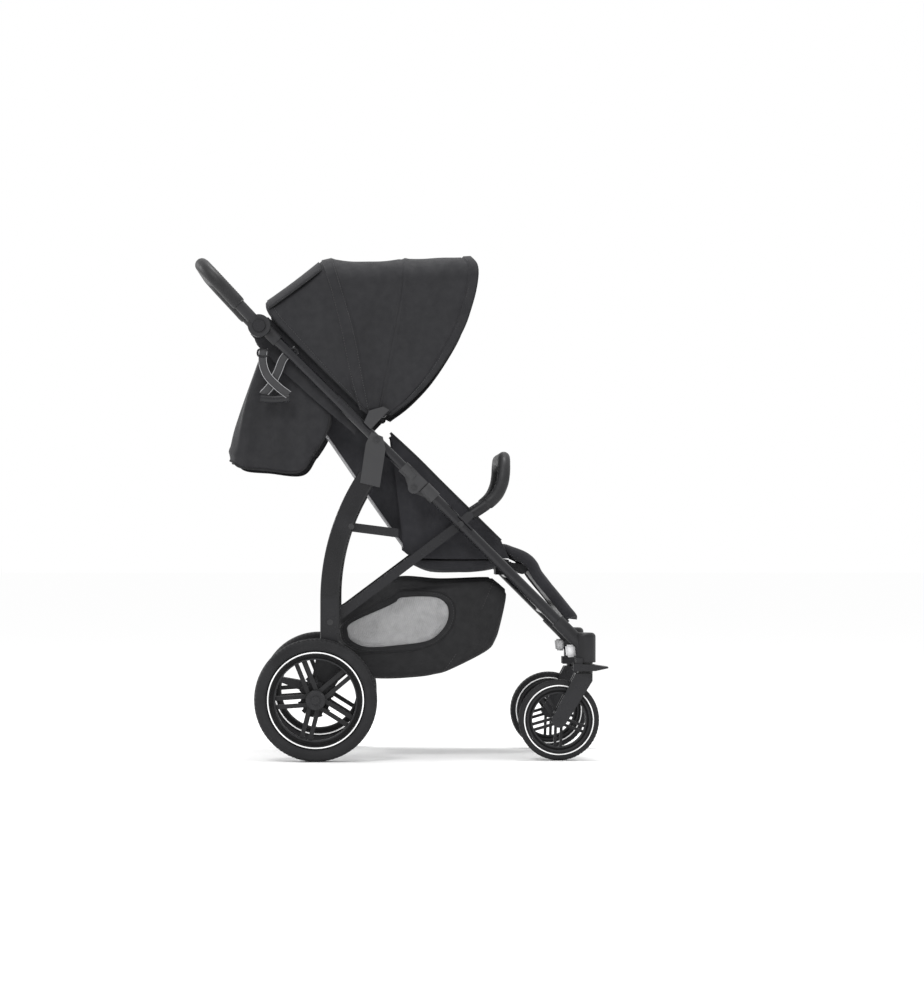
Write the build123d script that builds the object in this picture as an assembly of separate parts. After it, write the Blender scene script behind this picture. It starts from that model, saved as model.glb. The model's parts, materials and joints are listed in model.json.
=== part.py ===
from build123d import *
import os
from math import atan2, cos, degrees, radians, sin

# Folding baby stroller. Millimetres; +X is forwards, +Y is the child's left, +Z is up.
# The origin is on the floor, midway between the ends and the sides.

# Wheels
overall_width = 610.0  # over the rear tyres
rear_wheel_radius = 130.0
rear_tyre_width = 45.0
rear_axle_x = -180.0
front_wheel_radius = 86.0
front_tyre_width = 34.0
front_axle_x = 335.0
tyre_share = 0.21  # tyre height over wheel radius
rim_gap = 0.5  # tyre seat clearance to the rim

# Frame: both side tubes lie on one line that falls forwards
frame_slope = 45.0
frame_foot_x = 342.0
frame_foot_z = 286.0
tube_y = 232.0
lower_tube_radius = 11.5
upper_tube_radius = 10.5
tube_wall = 1.5

# Places along the frame line from its foot, and off it (up is positive)
strut_pin_along = 304.0
fold_along = 429.0
fold_off = -15.0
leg_pin_along = 557.5
canopy_pin_along = 586.5
canopy_pin_off = 49.0
saddle_low = 7.0
saddle_high = 21.0
hub_along = 903.0
hub_off = -5.0
knuckle_reach = 34.0
eye_radius = 13.0
sleeve_wall = 3.0

# Rear legs, struts and arms
leg_width = 42.0
leg_thickness = 22.0
leg_x = -150.0
leg_bend_z = 340.0
leg_bend_radius = 471.0
leg_top_z = 612.0
leg_foot_z = 205.0
strut_width = 20.0
strut_thickness = 10.0
strut_y = 203.0
strut_foot_z = 293.0
arm_width = 19.0
arm_thickness = 10.0
arm_z = 496.0
arm_length = 100.0
arm_drop = 14.0
arm_inner_y = 172.0
axle_radius = 8.0
axle_end_radius = 5.0

# Handle
handle_length = 181.0
handle_angle = 133.0
handle_y = 251.0
handle_bar_radius = 10.0
grip_radius = 15.0
grip_start = 62.0
clamp_half = 100.0  # half the straight grip that an accessory clamps to
hub_radius = 24.0
button_radius = 13.0
button_travel = 4.0

# Casters
caster_y = 228.0
caster_axis_x = 391.5
caster_housing_radius = 22.0
caster_housing_low = 208.0
caster_housing_high = 271.0
housing_crown = 9.0
caster_neck_radius = 16.0
caster_stem_radius = 6.0
fork_arm = 8.0
fork_gap = 2.0

# Seat, basket and soft parts
seat_half = 165.0
seat_rear_x = 18.0
seat_front_x = 232.0
seat_low_z = 425.0
seat_thickness = 34.0
back_angle = 124.5
back_length = 330.0
back_thickness = 26.0
board_thickness = 5.0
back_hinge_x = 23.0
back_hinge_z = 440.0
back_start = 84.0
rest_hinge_x = 261.5
rest_hinge_z = 406.0
rest_length = 152.0
rest_thickness = 14.0
basket_half = 150.0
cloth = 2.5
canopy_half = 236.0
canopy_corner = 55.0
curtain_half = 211.0
side_panel_y = 186.0

# Bumper bar
bumper_radius = 13.0
bumper_off = 25.0

# Small sizes shared by several pieces
pin_radius = 4.0
tongue = 10.0
sleeve_start = 12.0
sleeve_length = 14.0
hub_pin_radius = 9.0
handle_bend = 60.0
low_cross_along = 40.0
seat_cross_along = 150.0
cross_radius = 8.0
leg_wall = 1.5
shoe_wall = 4.0
shoe_top_z = 240.0
pedal_offset = -30.0
pedal_rise = 18.0
pedal_y = 0.0
pedal_width = 46.0
brake_pin_rise = 44.0
brake_drop = 8.0
brake_notches = 12
flange_thickness = 5.0
brake_pin_radius = 4.0
hub_share = 0.16
spoke_pairs = 5
rear_spoke_start = 40.0
front_spoke_start = 52.0
stem_length = 40.0
fork_top_z = 185.0
crown = 9.0
front_axle_radius = 4.0
lock_x = 378.0
lock_z = 197.0
lock_reach = 47.4
block_x = 65.0
block_length = 90.0
block_height = 22.0
panel_front_along = 215.0
back_half = 155.0
strap_width = 20.0
strap_length = 200.0
crotch_rise = 22.0
crotch_x = 150.0
rest_angle = -52.5
rest_hinge_radius = 12.0
basket_rear_x = -150.0
basket_front_x = 227.0
basket_top_z = 384.0
basket_low_z = 171.0
bumper_y = 224.0
bumper_forward = 74.0
bumper_height = 125.0
bumper_bend = 36.0
canopy_top_z = 1069.0
canopy_rear_x = -146.0
canopy_front_x = 165.0
edge_off = 22.0
rear_bow_x = -156.0
middle_bow_x = 3.0
bow_inset = 7.0
bow_radius = 3.0
curtain_low_along = 660.0
arm_x = -105.0

# Clearances
running = 0.05  # radial, pin in hole
side_gap = 0.5  # between pieces that turn past each other
soft_gap = 0.6  # around soft parts

shapes = {}


def on_frame(along, off=0.0):
    """Point (x, z) at a distance along the frame line and off it."""
    c = cos(radians(frame_slope))
    s = sin(radians(frame_slope))
    return (frame_foot_x - along * c + off * s, frame_foot_z + along * s + off * c)


def side_plate(face, middle_y, thickness):
    """A sketch on the side plane, made into a plate centred on middle_y."""
    placed = Plane.XZ.offset(-middle_y) * face
    return extrude(placed, amount=thickness / 2, both=True)


def shape_from(points):
    """A flat outline through (x, z) points."""
    return make_face(Polyline(*points, close=True))


def cross_pin(x, z, radius, low_y, high_y):
    """A cylinder across the stroller."""
    length = high_y - low_y
    plane = Plane(origin=(x, low_y, z), x_dir=(1, 0, 0), z_dir=(0, 1, 0))
    return plane * Cylinder(radius, length, align=(Align.CENTER, Align.CENTER, Align.MIN))


def rod(start, end, radius):
    """A straight round bar between two points."""
    run = Vector(*end) - Vector(*start)
    plane = Plane(origin=start, z_dir=run)
    return plane * Cylinder(radius, run.length, align=(Align.CENTER, Align.CENTER, Align.MIN))


def pipe(start, end, radius, wall):
    return rod(start, end, radius) - rod(start, end, radius - wall)


def bent_bar(points, bend, radius):
    """A round bar along straight runs with rounded bends."""
    path = FilletPolyline(*points, radius=bend)
    first = Vector(*points[1]) - Vector(*points[0])
    section = Plane(origin=points[0], z_dir=first) * Circle(radius)
    return sweep(section, path=path)


def frame_box(low_along, high_along, low_off, high_off):
    """The four corners of a block that lies along the frame line."""
    corners = [(low_along, low_off), (high_along, low_off), (high_along, high_off), (low_along, high_off)]
    return [on_frame(a, o) for a, o in corners]


def to_left(solid):
    return mirror(solid, about=Plane.XZ)


def group(pieces):
    """Separate solids kept together in one part."""
    return Compound(children=[solid for piece in pieces for solid in piece.solids()])


def both_sides(right):
    """The right piece and its mirror, as one group of separate solids."""
    return group([right, to_left(right)])


def add_pair(name, right):
    shapes[name + "_right"] = right
    shapes[name + "_left"] = to_left(right)


strut_pin = on_frame(strut_pin_along)
fold_pin = on_frame(fold_along, fold_off)
leg_pin = on_frame(leg_pin_along)
canopy_pin = on_frame(canopy_pin_along, canopy_pin_off)
hub = on_frame(hub_along, hub_off)
strut_foot = (leg_x, strut_foot_z)
arm_pin = (arm_x, arm_z)
bracket_low = leg_pin_along + 24
bracket_high = leg_pin_along + 44
pedal_pin = (rear_axle_x + pedal_offset, rear_wheel_radius + pedal_rise)
rear_wheel_y = (overall_width - rear_tyre_width) / 2
flange_y = tube_y + leg_thickness / 2 + shoe_wall + 11.5
plate_inner = tube_y - leg_thickness / 2
plate_outer = tube_y + leg_thickness / 2
plate_thickness = 3.0


def place(along, off=0.0, y=-tube_y):
    """Point (x, y, z) on the right side tube's line."""
    x, z = on_frame(along, off)
    return (x, y, z)


def turned(centre, angle, length):
    """The point a length away from centre at an angle, in the side view."""
    x = centre[0] + length * cos(radians(angle))
    z = centre[1] + length * sin(radians(angle))
    return (x, z)


# Side tubes
def side_tubes():
    low_end = fold_along - knuckle_reach
    high_start = fold_along + knuckle_reach
    high_end = hub_along - hub_radius - sleeve_start
    lower = pipe(place(0), place(low_end), lower_tube_radius, tube_wall)
    upper = pipe(place(high_start), place(high_end), upper_tube_radius, tube_wall)
    pin = on_frame(strut_pin_along)
    add_pair("front_tube", lower - cross_pin(*pin, pin_radius, -tube_y - 30, -tube_y + 30))
    pin = on_frame(leg_pin_along)
    add_pair("upper_tube", upper - cross_pin(*pin, pin_radius, -tube_y - 30, -tube_y + 30))


# Hinge halves where the side tubes fold: a tongue below, two cheeks above
def fold_knuckles():
    eye = Pos(fold_pin[0], fold_pin[1]) * Circle(eye_radius)
    top = eye_radius
    face = eye_radius + 2
    cheek = (leg_thickness - tongue) / 2 - side_gap
    low_web = eye + shape_from([
        on_frame(fold_along - knuckle_reach, -lower_tube_radius),
        on_frame(fold_along, fold_off - eye_radius),
        on_frame(fold_along, fold_off),
        on_frame(fold_along - face, top),
        on_frame(fold_along - knuckle_reach, top),
    ])
    lower = side_plate(low_web, -tube_y, tongue)
    lower += rod(place(fold_along - knuckle_reach - sleeve_length), place(fold_along - face),
                 lower_tube_radius + sleeve_wall)
    lower -= rod(place(0), place(fold_along - knuckle_reach), lower_tube_radius)
    lower -= cross_pin(*fold_pin, pin_radius + running, -tube_y - 30, -tube_y + 30)
    shapes["lower_knuckles"] = both_sides(lower)

    high_web = eye + shape_from([
        on_frame(fold_along, fold_off - eye_radius),
        on_frame(fold_along + knuckle_reach, -upper_tube_radius),
        on_frame(fold_along + knuckle_reach, top),
        on_frame(fold_along - eye_radius, top),
        on_frame(fold_along - eye_radius, fold_off + 2),
    ])
    upper = rod(place(fold_along + face), place(fold_along + knuckle_reach + sleeve_length),
                upper_tube_radius + sleeve_wall)
    for side in (-1, 1):
        middle = -tube_y + side * ((tongue + cheek) / 2 + side_gap)
        upper += side_plate(high_web, middle, cheek)
    upper -= rod(place(fold_along + knuckle_reach), place(hub_along), upper_tube_radius)
    upper -= cross_pin(*fold_pin, pin_radius, -tube_y - 30, -tube_y + 30)
    shapes["upper_knuckles"] = both_sides(upper)


def rivet(at, radius, low_y, high_y):
    """A pin with a low round head at each end."""
    head = 1.5
    solid = cross_pin(*at, radius, low_y, high_y)
    solid += cross_pin(*at, radius * 1.6, low_y - head, low_y)
    solid += cross_pin(*at, radius * 1.6, high_y, high_y + head)
    return solid


# Cross tubes that hold the two front tubes apart
def cross_tubes():
    inner = tube_y - lower_tube_radius
    bars = []
    for along in (low_cross_along, seat_cross_along):
        bars.append(cross_pin(*on_frame(along), cross_radius, -inner, inner))
    shapes["cross_tubes"] = group(bars)


# Pins: the strut pins stay with the front tubes, the fold pins with the upper frame
def frame_pins():
    strut = rivet(strut_pin, pin_radius, -tube_y - lower_tube_radius,
                  -strut_y + strut_thickness / 2 + side_gap)
    shapes["strut_pins"] = both_sides(strut)
    fold = rivet(fold_pin, pin_radius, -plate_outer, -plate_inner)
    leg = rivet(leg_pin, pin_radius, -plate_outer - plate_thickness - side_gap,
                -plate_inner + plate_thickness + side_gap)
    shapes["frame_pins"] = group([fold, to_left(fold), leg, to_left(leg)])


# Handle hubs at the top of the upper tubes
def hub_housings():
    low = hub_along - hub_radius - sleeve_start - sleeve_length
    solid = rod(place(low), place(hub_along - hub_radius + 6), upper_tube_radius + sleeve_wall)
    solid += cross_pin(*hub, hub_radius, -plate_outer, -plate_inner)
    solid -= rod(place(fold_along), place(hub_along - hub_radius - sleeve_start), upper_tube_radius)
    solid -= cross_pin(*hub, hub_pin_radius + running, -plate_outer, -plate_inner - 8)
    solid -= cross_pin(*hub, hub_radius + 1, -plate_outer - 9, -plate_outer)
    shapes["hub_housings"] = both_sides(solid)


def handle():
    cap_low = -handle_y - handle_bar_radius
    cap_high = -plate_outer - side_gap
    cap = cross_pin(*hub, hub_radius, cap_low, cap_high)
    arm_end = turned(hub, handle_angle, grip_start)
    cap += rod((hub[0], -handle_y, hub[1]), (arm_end[0], -handle_y, arm_end[1]), handle_bar_radius + 2)
    bar_start = turned(hub, handle_angle, hub_radius)
    cap -= rod((bar_start[0], -handle_y, bar_start[1]), (arm_end[0], -handle_y, arm_end[1]),
               handle_bar_radius)
    cap -= cross_pin(*hub, hub_radius + side_gap, cap_high, -plate_inner)
    cap += cross_pin(*hub, hub_pin_radius, cap_high, -plate_inner - 9)
    pocket = button_radius + side_gap
    cap -= cross_pin(*hub, pocket, cap_low - 10, cap_low + button_travel + 3)
    shapes["hub_caps"] = both_sides(cap)
    top = turned(hub, handle_angle, handle_length)
    route = [(bar_start[0], -handle_y, bar_start[1]), (top[0], -handle_y, top[1]),
             (top[0], handle_y, top[1]), (bar_start[0], handle_y, bar_start[1])]
    shapes["handle_bar"] = bent_bar(route, handle_bend, handle_bar_radius)
    route[0] = (arm_end[0], -handle_y, arm_end[1])
    route[-1] = (arm_end[0], handle_y, arm_end[1])
    corner = bent_bar([route[0], route[1], (top[0], -clamp_half, top[1])], handle_bend, grip_radius)
    grip = corner + to_left(corner) + cross_pin(*top, grip_radius, -clamp_half, clamp_half)
    shapes["handle_grip"] = grip - bent_bar(route, handle_bend, handle_bar_radius)
    button = cross_pin(*hub, button_radius, cap_low - button_travel, cap_low + 2.5)
    add_pair("hub_button", button)


# Rear legs: a flat tube that stands upright, then leans forwards to the leg pin
def leg_line(offset):
    """Centre line of the leg, moved sideways in the side view by an offset."""
    x = leg_x + offset
    radius = leg_bend_radius - offset
    centre = (leg_x + leg_bend_radius, leg_bend_z)
    turn = degrees(atan2(leg_top_z - leg_bend_z, radius * 0.83))
    half = 180 - turn / 2
    end = 180 - turn
    middle_point = turned(centre, half, radius)
    end_point = turned(centre, end, radius)
    straight = Line((x, leg_foot_z), (x, leg_bend_z))
    arc = ThreePointArc((x, leg_bend_z), middle_point, end_point)
    return straight, arc, end_point


def leg_face(half_width):
    left_line, left_arc, left_end = leg_line(-half_width)
    right_line, right_arc, right_end = leg_line(half_width)
    top = Line(left_end, right_end)
    foot = Line((leg_x - half_width, leg_foot_z), (leg_x + half_width, leg_foot_z))
    return make_face([left_line, left_arc, top, right_arc, right_line, foot])


def rear_legs():
    outer = side_plate(leg_face(leg_width / 2), -tube_y, leg_thickness)
    outer = fillet(outer.edges().filter_by(Axis.Y, reverse=True).filter_by(lambda e: e.length > 150), 5)
    inner = side_plate(leg_face(leg_width / 2 - leg_wall), -tube_y, leg_thickness - 2 * leg_wall)
    leg = outer - inner
    leg -= cross_pin(leg_x, strut_foot_z, pin_radius, -tube_y - 30, -tube_y + 30)
    leg -= cross_pin(*arm_pin, pin_radius, -tube_y - 30, -tube_y + 30)
    add_pair("rear_leg", leg)


def leg_head_plates():
    """Plates either side of each leg's top, which turn on the leg pin."""
    _, _, left_end = leg_line(-leg_width / 2)
    _, _, right_end = leg_line(leg_width / 2)
    outline = shape_from([
        (left_end[0] + 2, left_end[1] - 24),
        (leg_pin[0] - 22, leg_pin[1] - 8),
        (leg_pin[0] - 10, leg_pin[1] + 16),
        (leg_pin[0] + 14, leg_pin[1] + 6),
        (leg_pin[0] + 20, leg_pin[1] - 20),
        (right_end[0] - 2, right_end[1] - 26),
    ])
    plates = []
    for middle in (-plate_outer - plate_thickness / 2, -plate_inner + plate_thickness / 2):
        plate = side_plate(outline, middle, plate_thickness)
        plate -= cross_pin(*leg_pin, pin_radius + running, -tube_y - 30, -tube_y + 30)
        plates.append(plate)
    plates = plates + [to_left(plate) for plate in plates]
    shapes["leg_head_plates"] = group(plates)


# Moulded shoes that join each leg's foot to the rear axle
def axle_shoes():
    axle = (rear_axle_x, rear_wheel_radius)
    half = leg_width / 2 + shoe_wall
    outline = shape_from([
        (leg_x - half, shoe_top_z),
        (leg_x - half - 10, axle[1] + 60),
        (axle[0] - 20, axle[1]),
        (axle[0] - 10, axle[1] - 17),
        (axle[0] + 10, axle[1] - 17),
        (axle[0] + 22, axle[1]),
        (leg_x + half, axle[1] + 50),
        (leg_x + half, shoe_top_z),
    ])
    shoe = side_plate(outline, -tube_y, leg_thickness + 2 * shoe_wall)
    shoe = fillet(shoe.edges().filter_by(Axis.Y), 3)
    shoe -= side_plate(shape_from([
        (leg_x - leg_width / 2, leg_foot_z), (leg_x + leg_width / 2, leg_foot_z),
        (leg_x + leg_width / 2, shoe_top_z + 10), (leg_x - leg_width / 2, shoe_top_z + 10)]),
        -tube_y, leg_thickness)
    shoe -= cross_pin(*axle, axle_radius, -tube_y - 30, -tube_y + 30)
    slot = SlotOverall(2 * (brake_pin_radius + running) + brake_drop, 2 * (brake_pin_radius + running))
    slot = Pos(axle[0], axle[1] + brake_pin_rise - brake_drop / 2) * Rot(0, 0, 90) * slot
    shoe -= side_plate(slot, -tube_y, 60)
    shapes["axle_shoes"] = both_sides(shoe)
    inner_end = tube_y + leg_thickness / 2 + shoe_wall
    bar = cross_pin(*axle, axle_radius, -inner_end, inner_end)
    hub_end = overall_width / 2 - 6
    bar += cross_pin(*axle, axle_end_radius, -hub_end, hub_end)
    for side in (-1, 1):
        low = min(side * hub_end, side * (hub_end + 4))
        bar += cross_pin(*axle, axle_end_radius + 4, low, low + 4)
    shapes["rear_axle"] = bar + pedal_lugs()


def pedal_lugs():
    """Lugs welded to the axle, with the pin that the brake pedal turns on."""
    axle = (rear_axle_x, rear_wheel_radius)
    lug = shape_from([
        (axle[0] - 14, axle[1] - 14), (axle[0] + 14, axle[1] - 14),
        (pedal_pin[0] + 9, pedal_pin[1] + 9), (pedal_pin[0] - 9, pedal_pin[1] + 9),
        (pedal_pin[0] - 9, pedal_pin[1] - 9)])
    lugs = cross_pin(*pedal_pin, pin_radius, pedal_y - pedal_width / 2 - 6, pedal_y + pedal_width / 2 + 6)
    for side in (-1, 1):
        lugs += side_plate(lug, pedal_y + side * (pedal_width / 2 + side_gap + 3), 6)
    return lugs


# Short arms from each leg that hold the seat's back sling
def sling_arms():
    start = (arm_pin[0] - arm_width / 2, arm_pin[1])
    end = (arm_pin[0] + arm_length, arm_pin[1] - arm_drop)
    bar = shape_from([
        (start[0], start[1] - arm_width / 2), (end[0], end[1] - arm_width / 2),
        (end[0], end[1] + arm_width / 2), (start[0], start[1] + arm_width / 2)])
    middle = -plate_inner + arm_thickness / 2
    solid = side_plate(bar, middle, arm_thickness)
    solid += cross_pin(end[0] - arm_thickness, end[1], arm_width / 2 - 1, middle, -arm_inner_y)
    solid -= cross_pin(*arm_pin, pin_radius, -tube_y - 30, -tube_y + 40)
    shapes["sling_arms"] = both_sides(solid)
    screws = rivet(arm_pin, pin_radius, -plate_outer, -plate_inner + arm_thickness)
    foot = rivet((leg_x, strut_foot_z), pin_radius, -plate_outer, -plate_inner)
    shapes["leg_screws"] = group([screws, to_left(screws), foot, to_left(foot)])


# Struts from the front tubes down to the legs
def struts():
    run = Vector(*(strut_pin[0] - strut_foot[0], strut_pin[1] - strut_foot[1]))
    length = run.length
    slope = degrees(atan2(run.Y, run.X))
    face = SlotOverall(length + strut_width, strut_width)
    middle = ((strut_pin[0] + strut_foot[0]) / 2, (strut_pin[1] + strut_foot[1]) / 2)
    face = Pos(*middle) * Rot(0, 0, slope) * face
    hole = Pos(*strut_pin) * Circle(pin_radius + running)
    shapes["struts"] = both_sides(side_plate(face - hole, -strut_y, strut_thickness))


# Parking brake: a pedal on the axle between the wheels, and a pin at each wheel
def brake():
    pad = shape_from([
        (pedal_pin[0] - 62, pedal_pin[1] + 14), (pedal_pin[0] - 56, pedal_pin[1] + 22),
        (pedal_pin[0] + 2, pedal_pin[1] + 12), (pedal_pin[0] + 12, pedal_pin[1] + 2),
        (pedal_pin[0] + 6, pedal_pin[1] - 8), (pedal_pin[0] - 6, pedal_pin[1] - 8)])
    pedal = side_plate(pad, pedal_y, pedal_width)
    pedal = fillet(pedal.edges().filter_by(Axis.Y), 2)
    pedal -= cross_pin(*pedal_pin, pin_radius + running, pedal_y - 40, pedal_y + 40)
    shapes["brake_pedal"] = pedal
    at = (rear_axle_x, rear_wheel_radius + brake_pin_rise)
    reach = flange_y + flange_thickness / 2
    shapes["brake_bar"] = cross_pin(*at, brake_pin_radius, -reach, reach)


def wheel(axle_x, radius, width, middle_y, bore, hub_half, first_spoke):
    """A tyre and a spoked rim that turn about an axle."""
    seat = radius * (1 - tyre_share)
    bulge = width / 2
    ring = make_face(
        [Line((seat + rim_gap, -bulge * 0.62), (seat + rim_gap, bulge * 0.62)),
         Line((seat + rim_gap, bulge * 0.62), (radius * 0.87, bulge)),
         ThreePointArc((radius * 0.87, bulge), (radius, 0), (radius * 0.87, -bulge)),
         Line((radius * 0.87, -bulge), (seat + rim_gap, -bulge * 0.62))])
    at = Plane(origin=(axle_x, middle_y, radius), x_dir=(1, 0, 0), z_dir=(0, 0, 1))
    tyre = at * revolve(ring, axis=Axis.Y)
    lip = seat * 0.83
    deep = bulge * 0.62
    rim = Cylinder(seat, 2 * deep) - Cylinder(lip, 2 * deep)
    rim -= Cylinder(seat * 0.94, 2 * deep) - Cylinder(lip + 3, 2 * deep)
    rim += Cylinder(seat, 3) - Cylinder(lip, 3)
    rim += Cylinder(radius * hub_share, 2 * hub_half)
    for k in range(spoke_pairs):
        turn = first_spoke + k * 360 / spoke_pairs
        for side in (-1, 1):
            bar = Pos((lip + 3) / 2, side * radius * 0.07, 0) * Box(lip + 1, radius * 0.07, deep)
            rim += Rot(0, 0, turn) * bar
    rim -= Cylinder(bore, 4 * hub_half)
    rim = Plane(origin=(axle_x, middle_y, radius), x_dir=(1, 0, 0), z_dir=(0, -1, 0)) * rim
    return tyre, rim


def rear_wheels():
    hub_half = rear_wheel_y - (tube_y + leg_thickness / 2 + shoe_wall) - side_gap
    tyre, rim = wheel(rear_axle_x, rear_wheel_radius, rear_tyre_width, -rear_wheel_y,
                      axle_end_radius + running, min(hub_half, rear_tyre_width / 2 - 7),
                      rear_spoke_start)
    axle = (rear_axle_x, rear_wheel_radius)
    outer = flange_y + flange_thickness / 2
    inner = flange_y - flange_thickness / 2
    flange = cross_pin(*axle, brake_pin_rise - brake_pin_radius - 2, -outer, -inner)
    for k in range(brake_notches):
        at = turned(axle, 90 + k * 360 / brake_notches, brake_pin_rise - brake_drop)
        far = turned(axle, 90 + k * 360 / brake_notches, brake_pin_rise)
        flange -= cross_pin(*at, brake_pin_radius + side_gap, -outer, -inner)
        flange -= cross_pin(*far, brake_pin_radius + side_gap, -outer, -inner)
    flange += cross_pin(*axle, 14, -rear_wheel_y, -inner)
    rim += flange - cross_pin(*axle, axle_end_radius + running, -rear_wheel_y, -inner)
    add_pair("rear_tyre", tyre)
    add_pair("rear_rim", rim)


# Casters: housing on the front tube, fork on a stem, wheel between two arms
def caster_housings():
    axis = (caster_axis_x, -caster_y)
    solid = Cylinder(caster_housing_radius, caster_housing_high - caster_housing_low,
                     align=(Align.CENTER, Align.CENTER, Align.MIN))
    solid = fillet(solid.edges().group_by(Axis.Z)[-1], housing_crown)
    solid = Pos(*axis, caster_housing_low) * solid
    solid += rod(place(sleeve_length), (caster_axis_x - 6, -caster_y, caster_housing_low + 34),
                 lower_tube_radius + sleeve_wall)
    solid -= rod(place(0), place(200), lower_tube_radius)
    solid -= Pos(*axis, caster_housing_low) * Cylinder(
        caster_stem_radius + running, stem_length + 4, align=(Align.CENTER, Align.CENTER, Align.MIN))
    for side in (-1, 1):
        middle = -caster_y + side * (caster_neck_radius + 4.5)
        lug = Box(14, 5, 26, align=(Align.CENTER, Align.CENTER, Align.MIN))
        solid += Pos(lock_x, middle, lock_z - 6) * lug
        solid -= cross_pin(lock_x, lock_z, 3 + running, middle - 4, middle + 4)
    shapes["caster_housings"] = both_sides(solid)


def caster_forks():
    axis = (caster_axis_x, -caster_y)
    neck_low = fork_top_z
    solid = Pos(*axis, neck_low) * Cylinder(
        caster_neck_radius, caster_housing_low - side_gap - neck_low,
        align=(Align.CENTER, Align.CENTER, Align.MIN))
    solid += Pos(*axis, neck_low) * Cylinder(
        caster_stem_radius, caster_housing_low + stem_length - neck_low,
        align=(Align.CENTER, Align.CENTER, Align.MIN))
    half_gap = front_tyre_width / 2 + fork_gap
    solid += Pos(caster_axis_x - 4, -caster_y, fork_top_z - crown) * Box(
        36, 2 * (half_gap + fork_arm), crown, align=(Align.CENTER, Align.CENTER, Align.MIN))
    axle = (front_axle_x, front_wheel_radius)
    arm = shape_from([
        (caster_axis_x - 22, fork_top_z), (caster_axis_x + 14, fork_top_z),
        (caster_axis_x + 14, fork_top_z - 16), (axle[0] + 15, axle[1] - 6),
        (axle[0] - 15, axle[1] + 4)])
    arm += Pos(*axle) * Circle(16)
    for side in (-1, 1):
        middle = -caster_y + side * (half_gap + fork_arm / 2)
        solid += side_plate(arm, middle, fork_arm)
    axle_half = half_gap + fork_arm
    solid -= cross_pin(*axle, front_axle_radius, -caster_y - axle_half, -caster_y + axle_half)
    pin = cross_pin(*axle, front_axle_radius, -caster_y - axle_half - 1, -caster_y + axle_half + 1)
    for side in ("right", "left"):
        pieces = group([solid, pin])
        shapes["caster_fork_" + side] = pieces if side == "right" else to_left(pieces)
    tyre, rim = wheel(front_axle_x, front_wheel_radius, front_tyre_width, -caster_y,
                      front_axle_radius + running, half_gap - side_gap, front_spoke_start)
    add_pair("front_tyre", tyre)
    add_pair("front_rim", rim)


# Levers that lock the casters straight ahead
def swivel_locks():
    inner = caster_neck_radius + 8
    outer = inner + 4
    lever = Part()
    for side in (-1, 1):
        arm = shape_from([
            (lock_x - 13, lock_z - 7), (caster_axis_x + 22, lock_z - 7),
            (caster_axis_x + 22, lock_z + 6), (lock_x - 13, lock_z + 9)])
        middle = -caster_y + side * (inner + outer) / 2
        lever += side_plate(arm, middle, outer - inner)
        lever += cross_pin(lock_x, lock_z, 3, *sorted((middle, middle - side * 6)))
    front = shape_from([
        (caster_axis_x + 20, lock_z - 7), (caster_axis_x + lock_reach, lock_z - 1),
        (caster_axis_x + lock_reach, lock_z + 2), (caster_axis_x + 20, lock_z + 6)])
    lever += side_plate(front, -caster_y, 2 * outer)
    add_pair("swivel_lock", lever)


# Seat: a moulded base under a cushion
def seat():
    base = Box(seat_front_x - seat_rear_x, 2 * seat_half, 5, align=(Align.MIN, Align.CENTER, Align.MAX))
    base = Pos(seat_rear_x, 0, seat_low_z) * base
    beam_x, beam_z = on_frame(seat_cross_along)
    clip = Pos(beam_x - 12, 0, seat_low_z - 5) * Box(
        34, 120, seat_low_z - 5 - beam_z, align=(Align.CENTER, Align.CENTER, Align.MAX))
    clip -= cross_pin(beam_x, beam_z, cross_radius, -90, 90)
    block = Pos(block_x, 0, seat_low_z - 5) * Box(
        block_length, 110, block_height, align=(Align.MIN, Align.CENTER, Align.MAX))
    shapes["seat_base"] = base + clip + block + rest_ears()
    pad = Box(seat_front_x - seat_rear_x, 2 * seat_half, seat_thickness,
              align=(Align.MIN, Align.CENTER, Align.MIN))
    pad = fillet(pad.edges().filter_by(Axis.Z), 18)
    shapes["seat_cushion"] = Pos(seat_rear_x, 0, seat_low_z + soft_gap) * pad


def side_panels():
    """Soft walls between the seat and the side tubes."""
    low = seat_low_z
    top_rear = on_frame(fold_along + 10, 26)
    outline = shape_from([
        (seat_rear_x + 2, low), (seat_front_x, low), on_frame(panel_front_along, 22),
        on_frame(panel_front_along, 34), on_frame(strut_pin_along, 34), top_rear,
        (top_rear[0] - 10, top_rear[1] - 50)])
    shapes["side_panels"] = both_sides(side_plate(outline, -side_panel_y, cloth * 2))


# Backrest: a stiff board with a cushion, which lies back about the seat's rear edge
def backrest():
    lean = Plane(origin=(back_hinge_x, 0, back_hinge_z), x_dir=(0, 1, 0),
                 z_dir=(sin(radians(back_angle)), 0, -cos(radians(back_angle))))
    board = Box(2 * back_half, back_length, board_thickness, align=(Align.CENTER, Align.MIN, Align.MIN))
    board = fillet(board.edges().filter_by(Axis.Z), 20)
    shapes["backrest_board"] = lean * Pos(0, back_start, 0) * board
    pad = Box(2 * back_half, back_length, back_thickness, align=(Align.CENTER, Align.MIN, Align.MIN))
    pad = fillet(pad.edges().filter_by(Axis.Z), 30)
    shapes["back_cushion"] = lean * Pos(0, back_start, board_thickness + soft_gap) * pad
    straps = []
    front = board_thickness + back_thickness + 2 * soft_gap
    for side in (-1, 1):
        strap = Box(strap_width, strap_length, 6, align=(Align.CENTER, Align.MIN, Align.MIN))
        straps.append(lean * Pos(side * 55, back_start + 50, front) * strap)
    shapes["shoulder_straps"] = group(straps)


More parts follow.
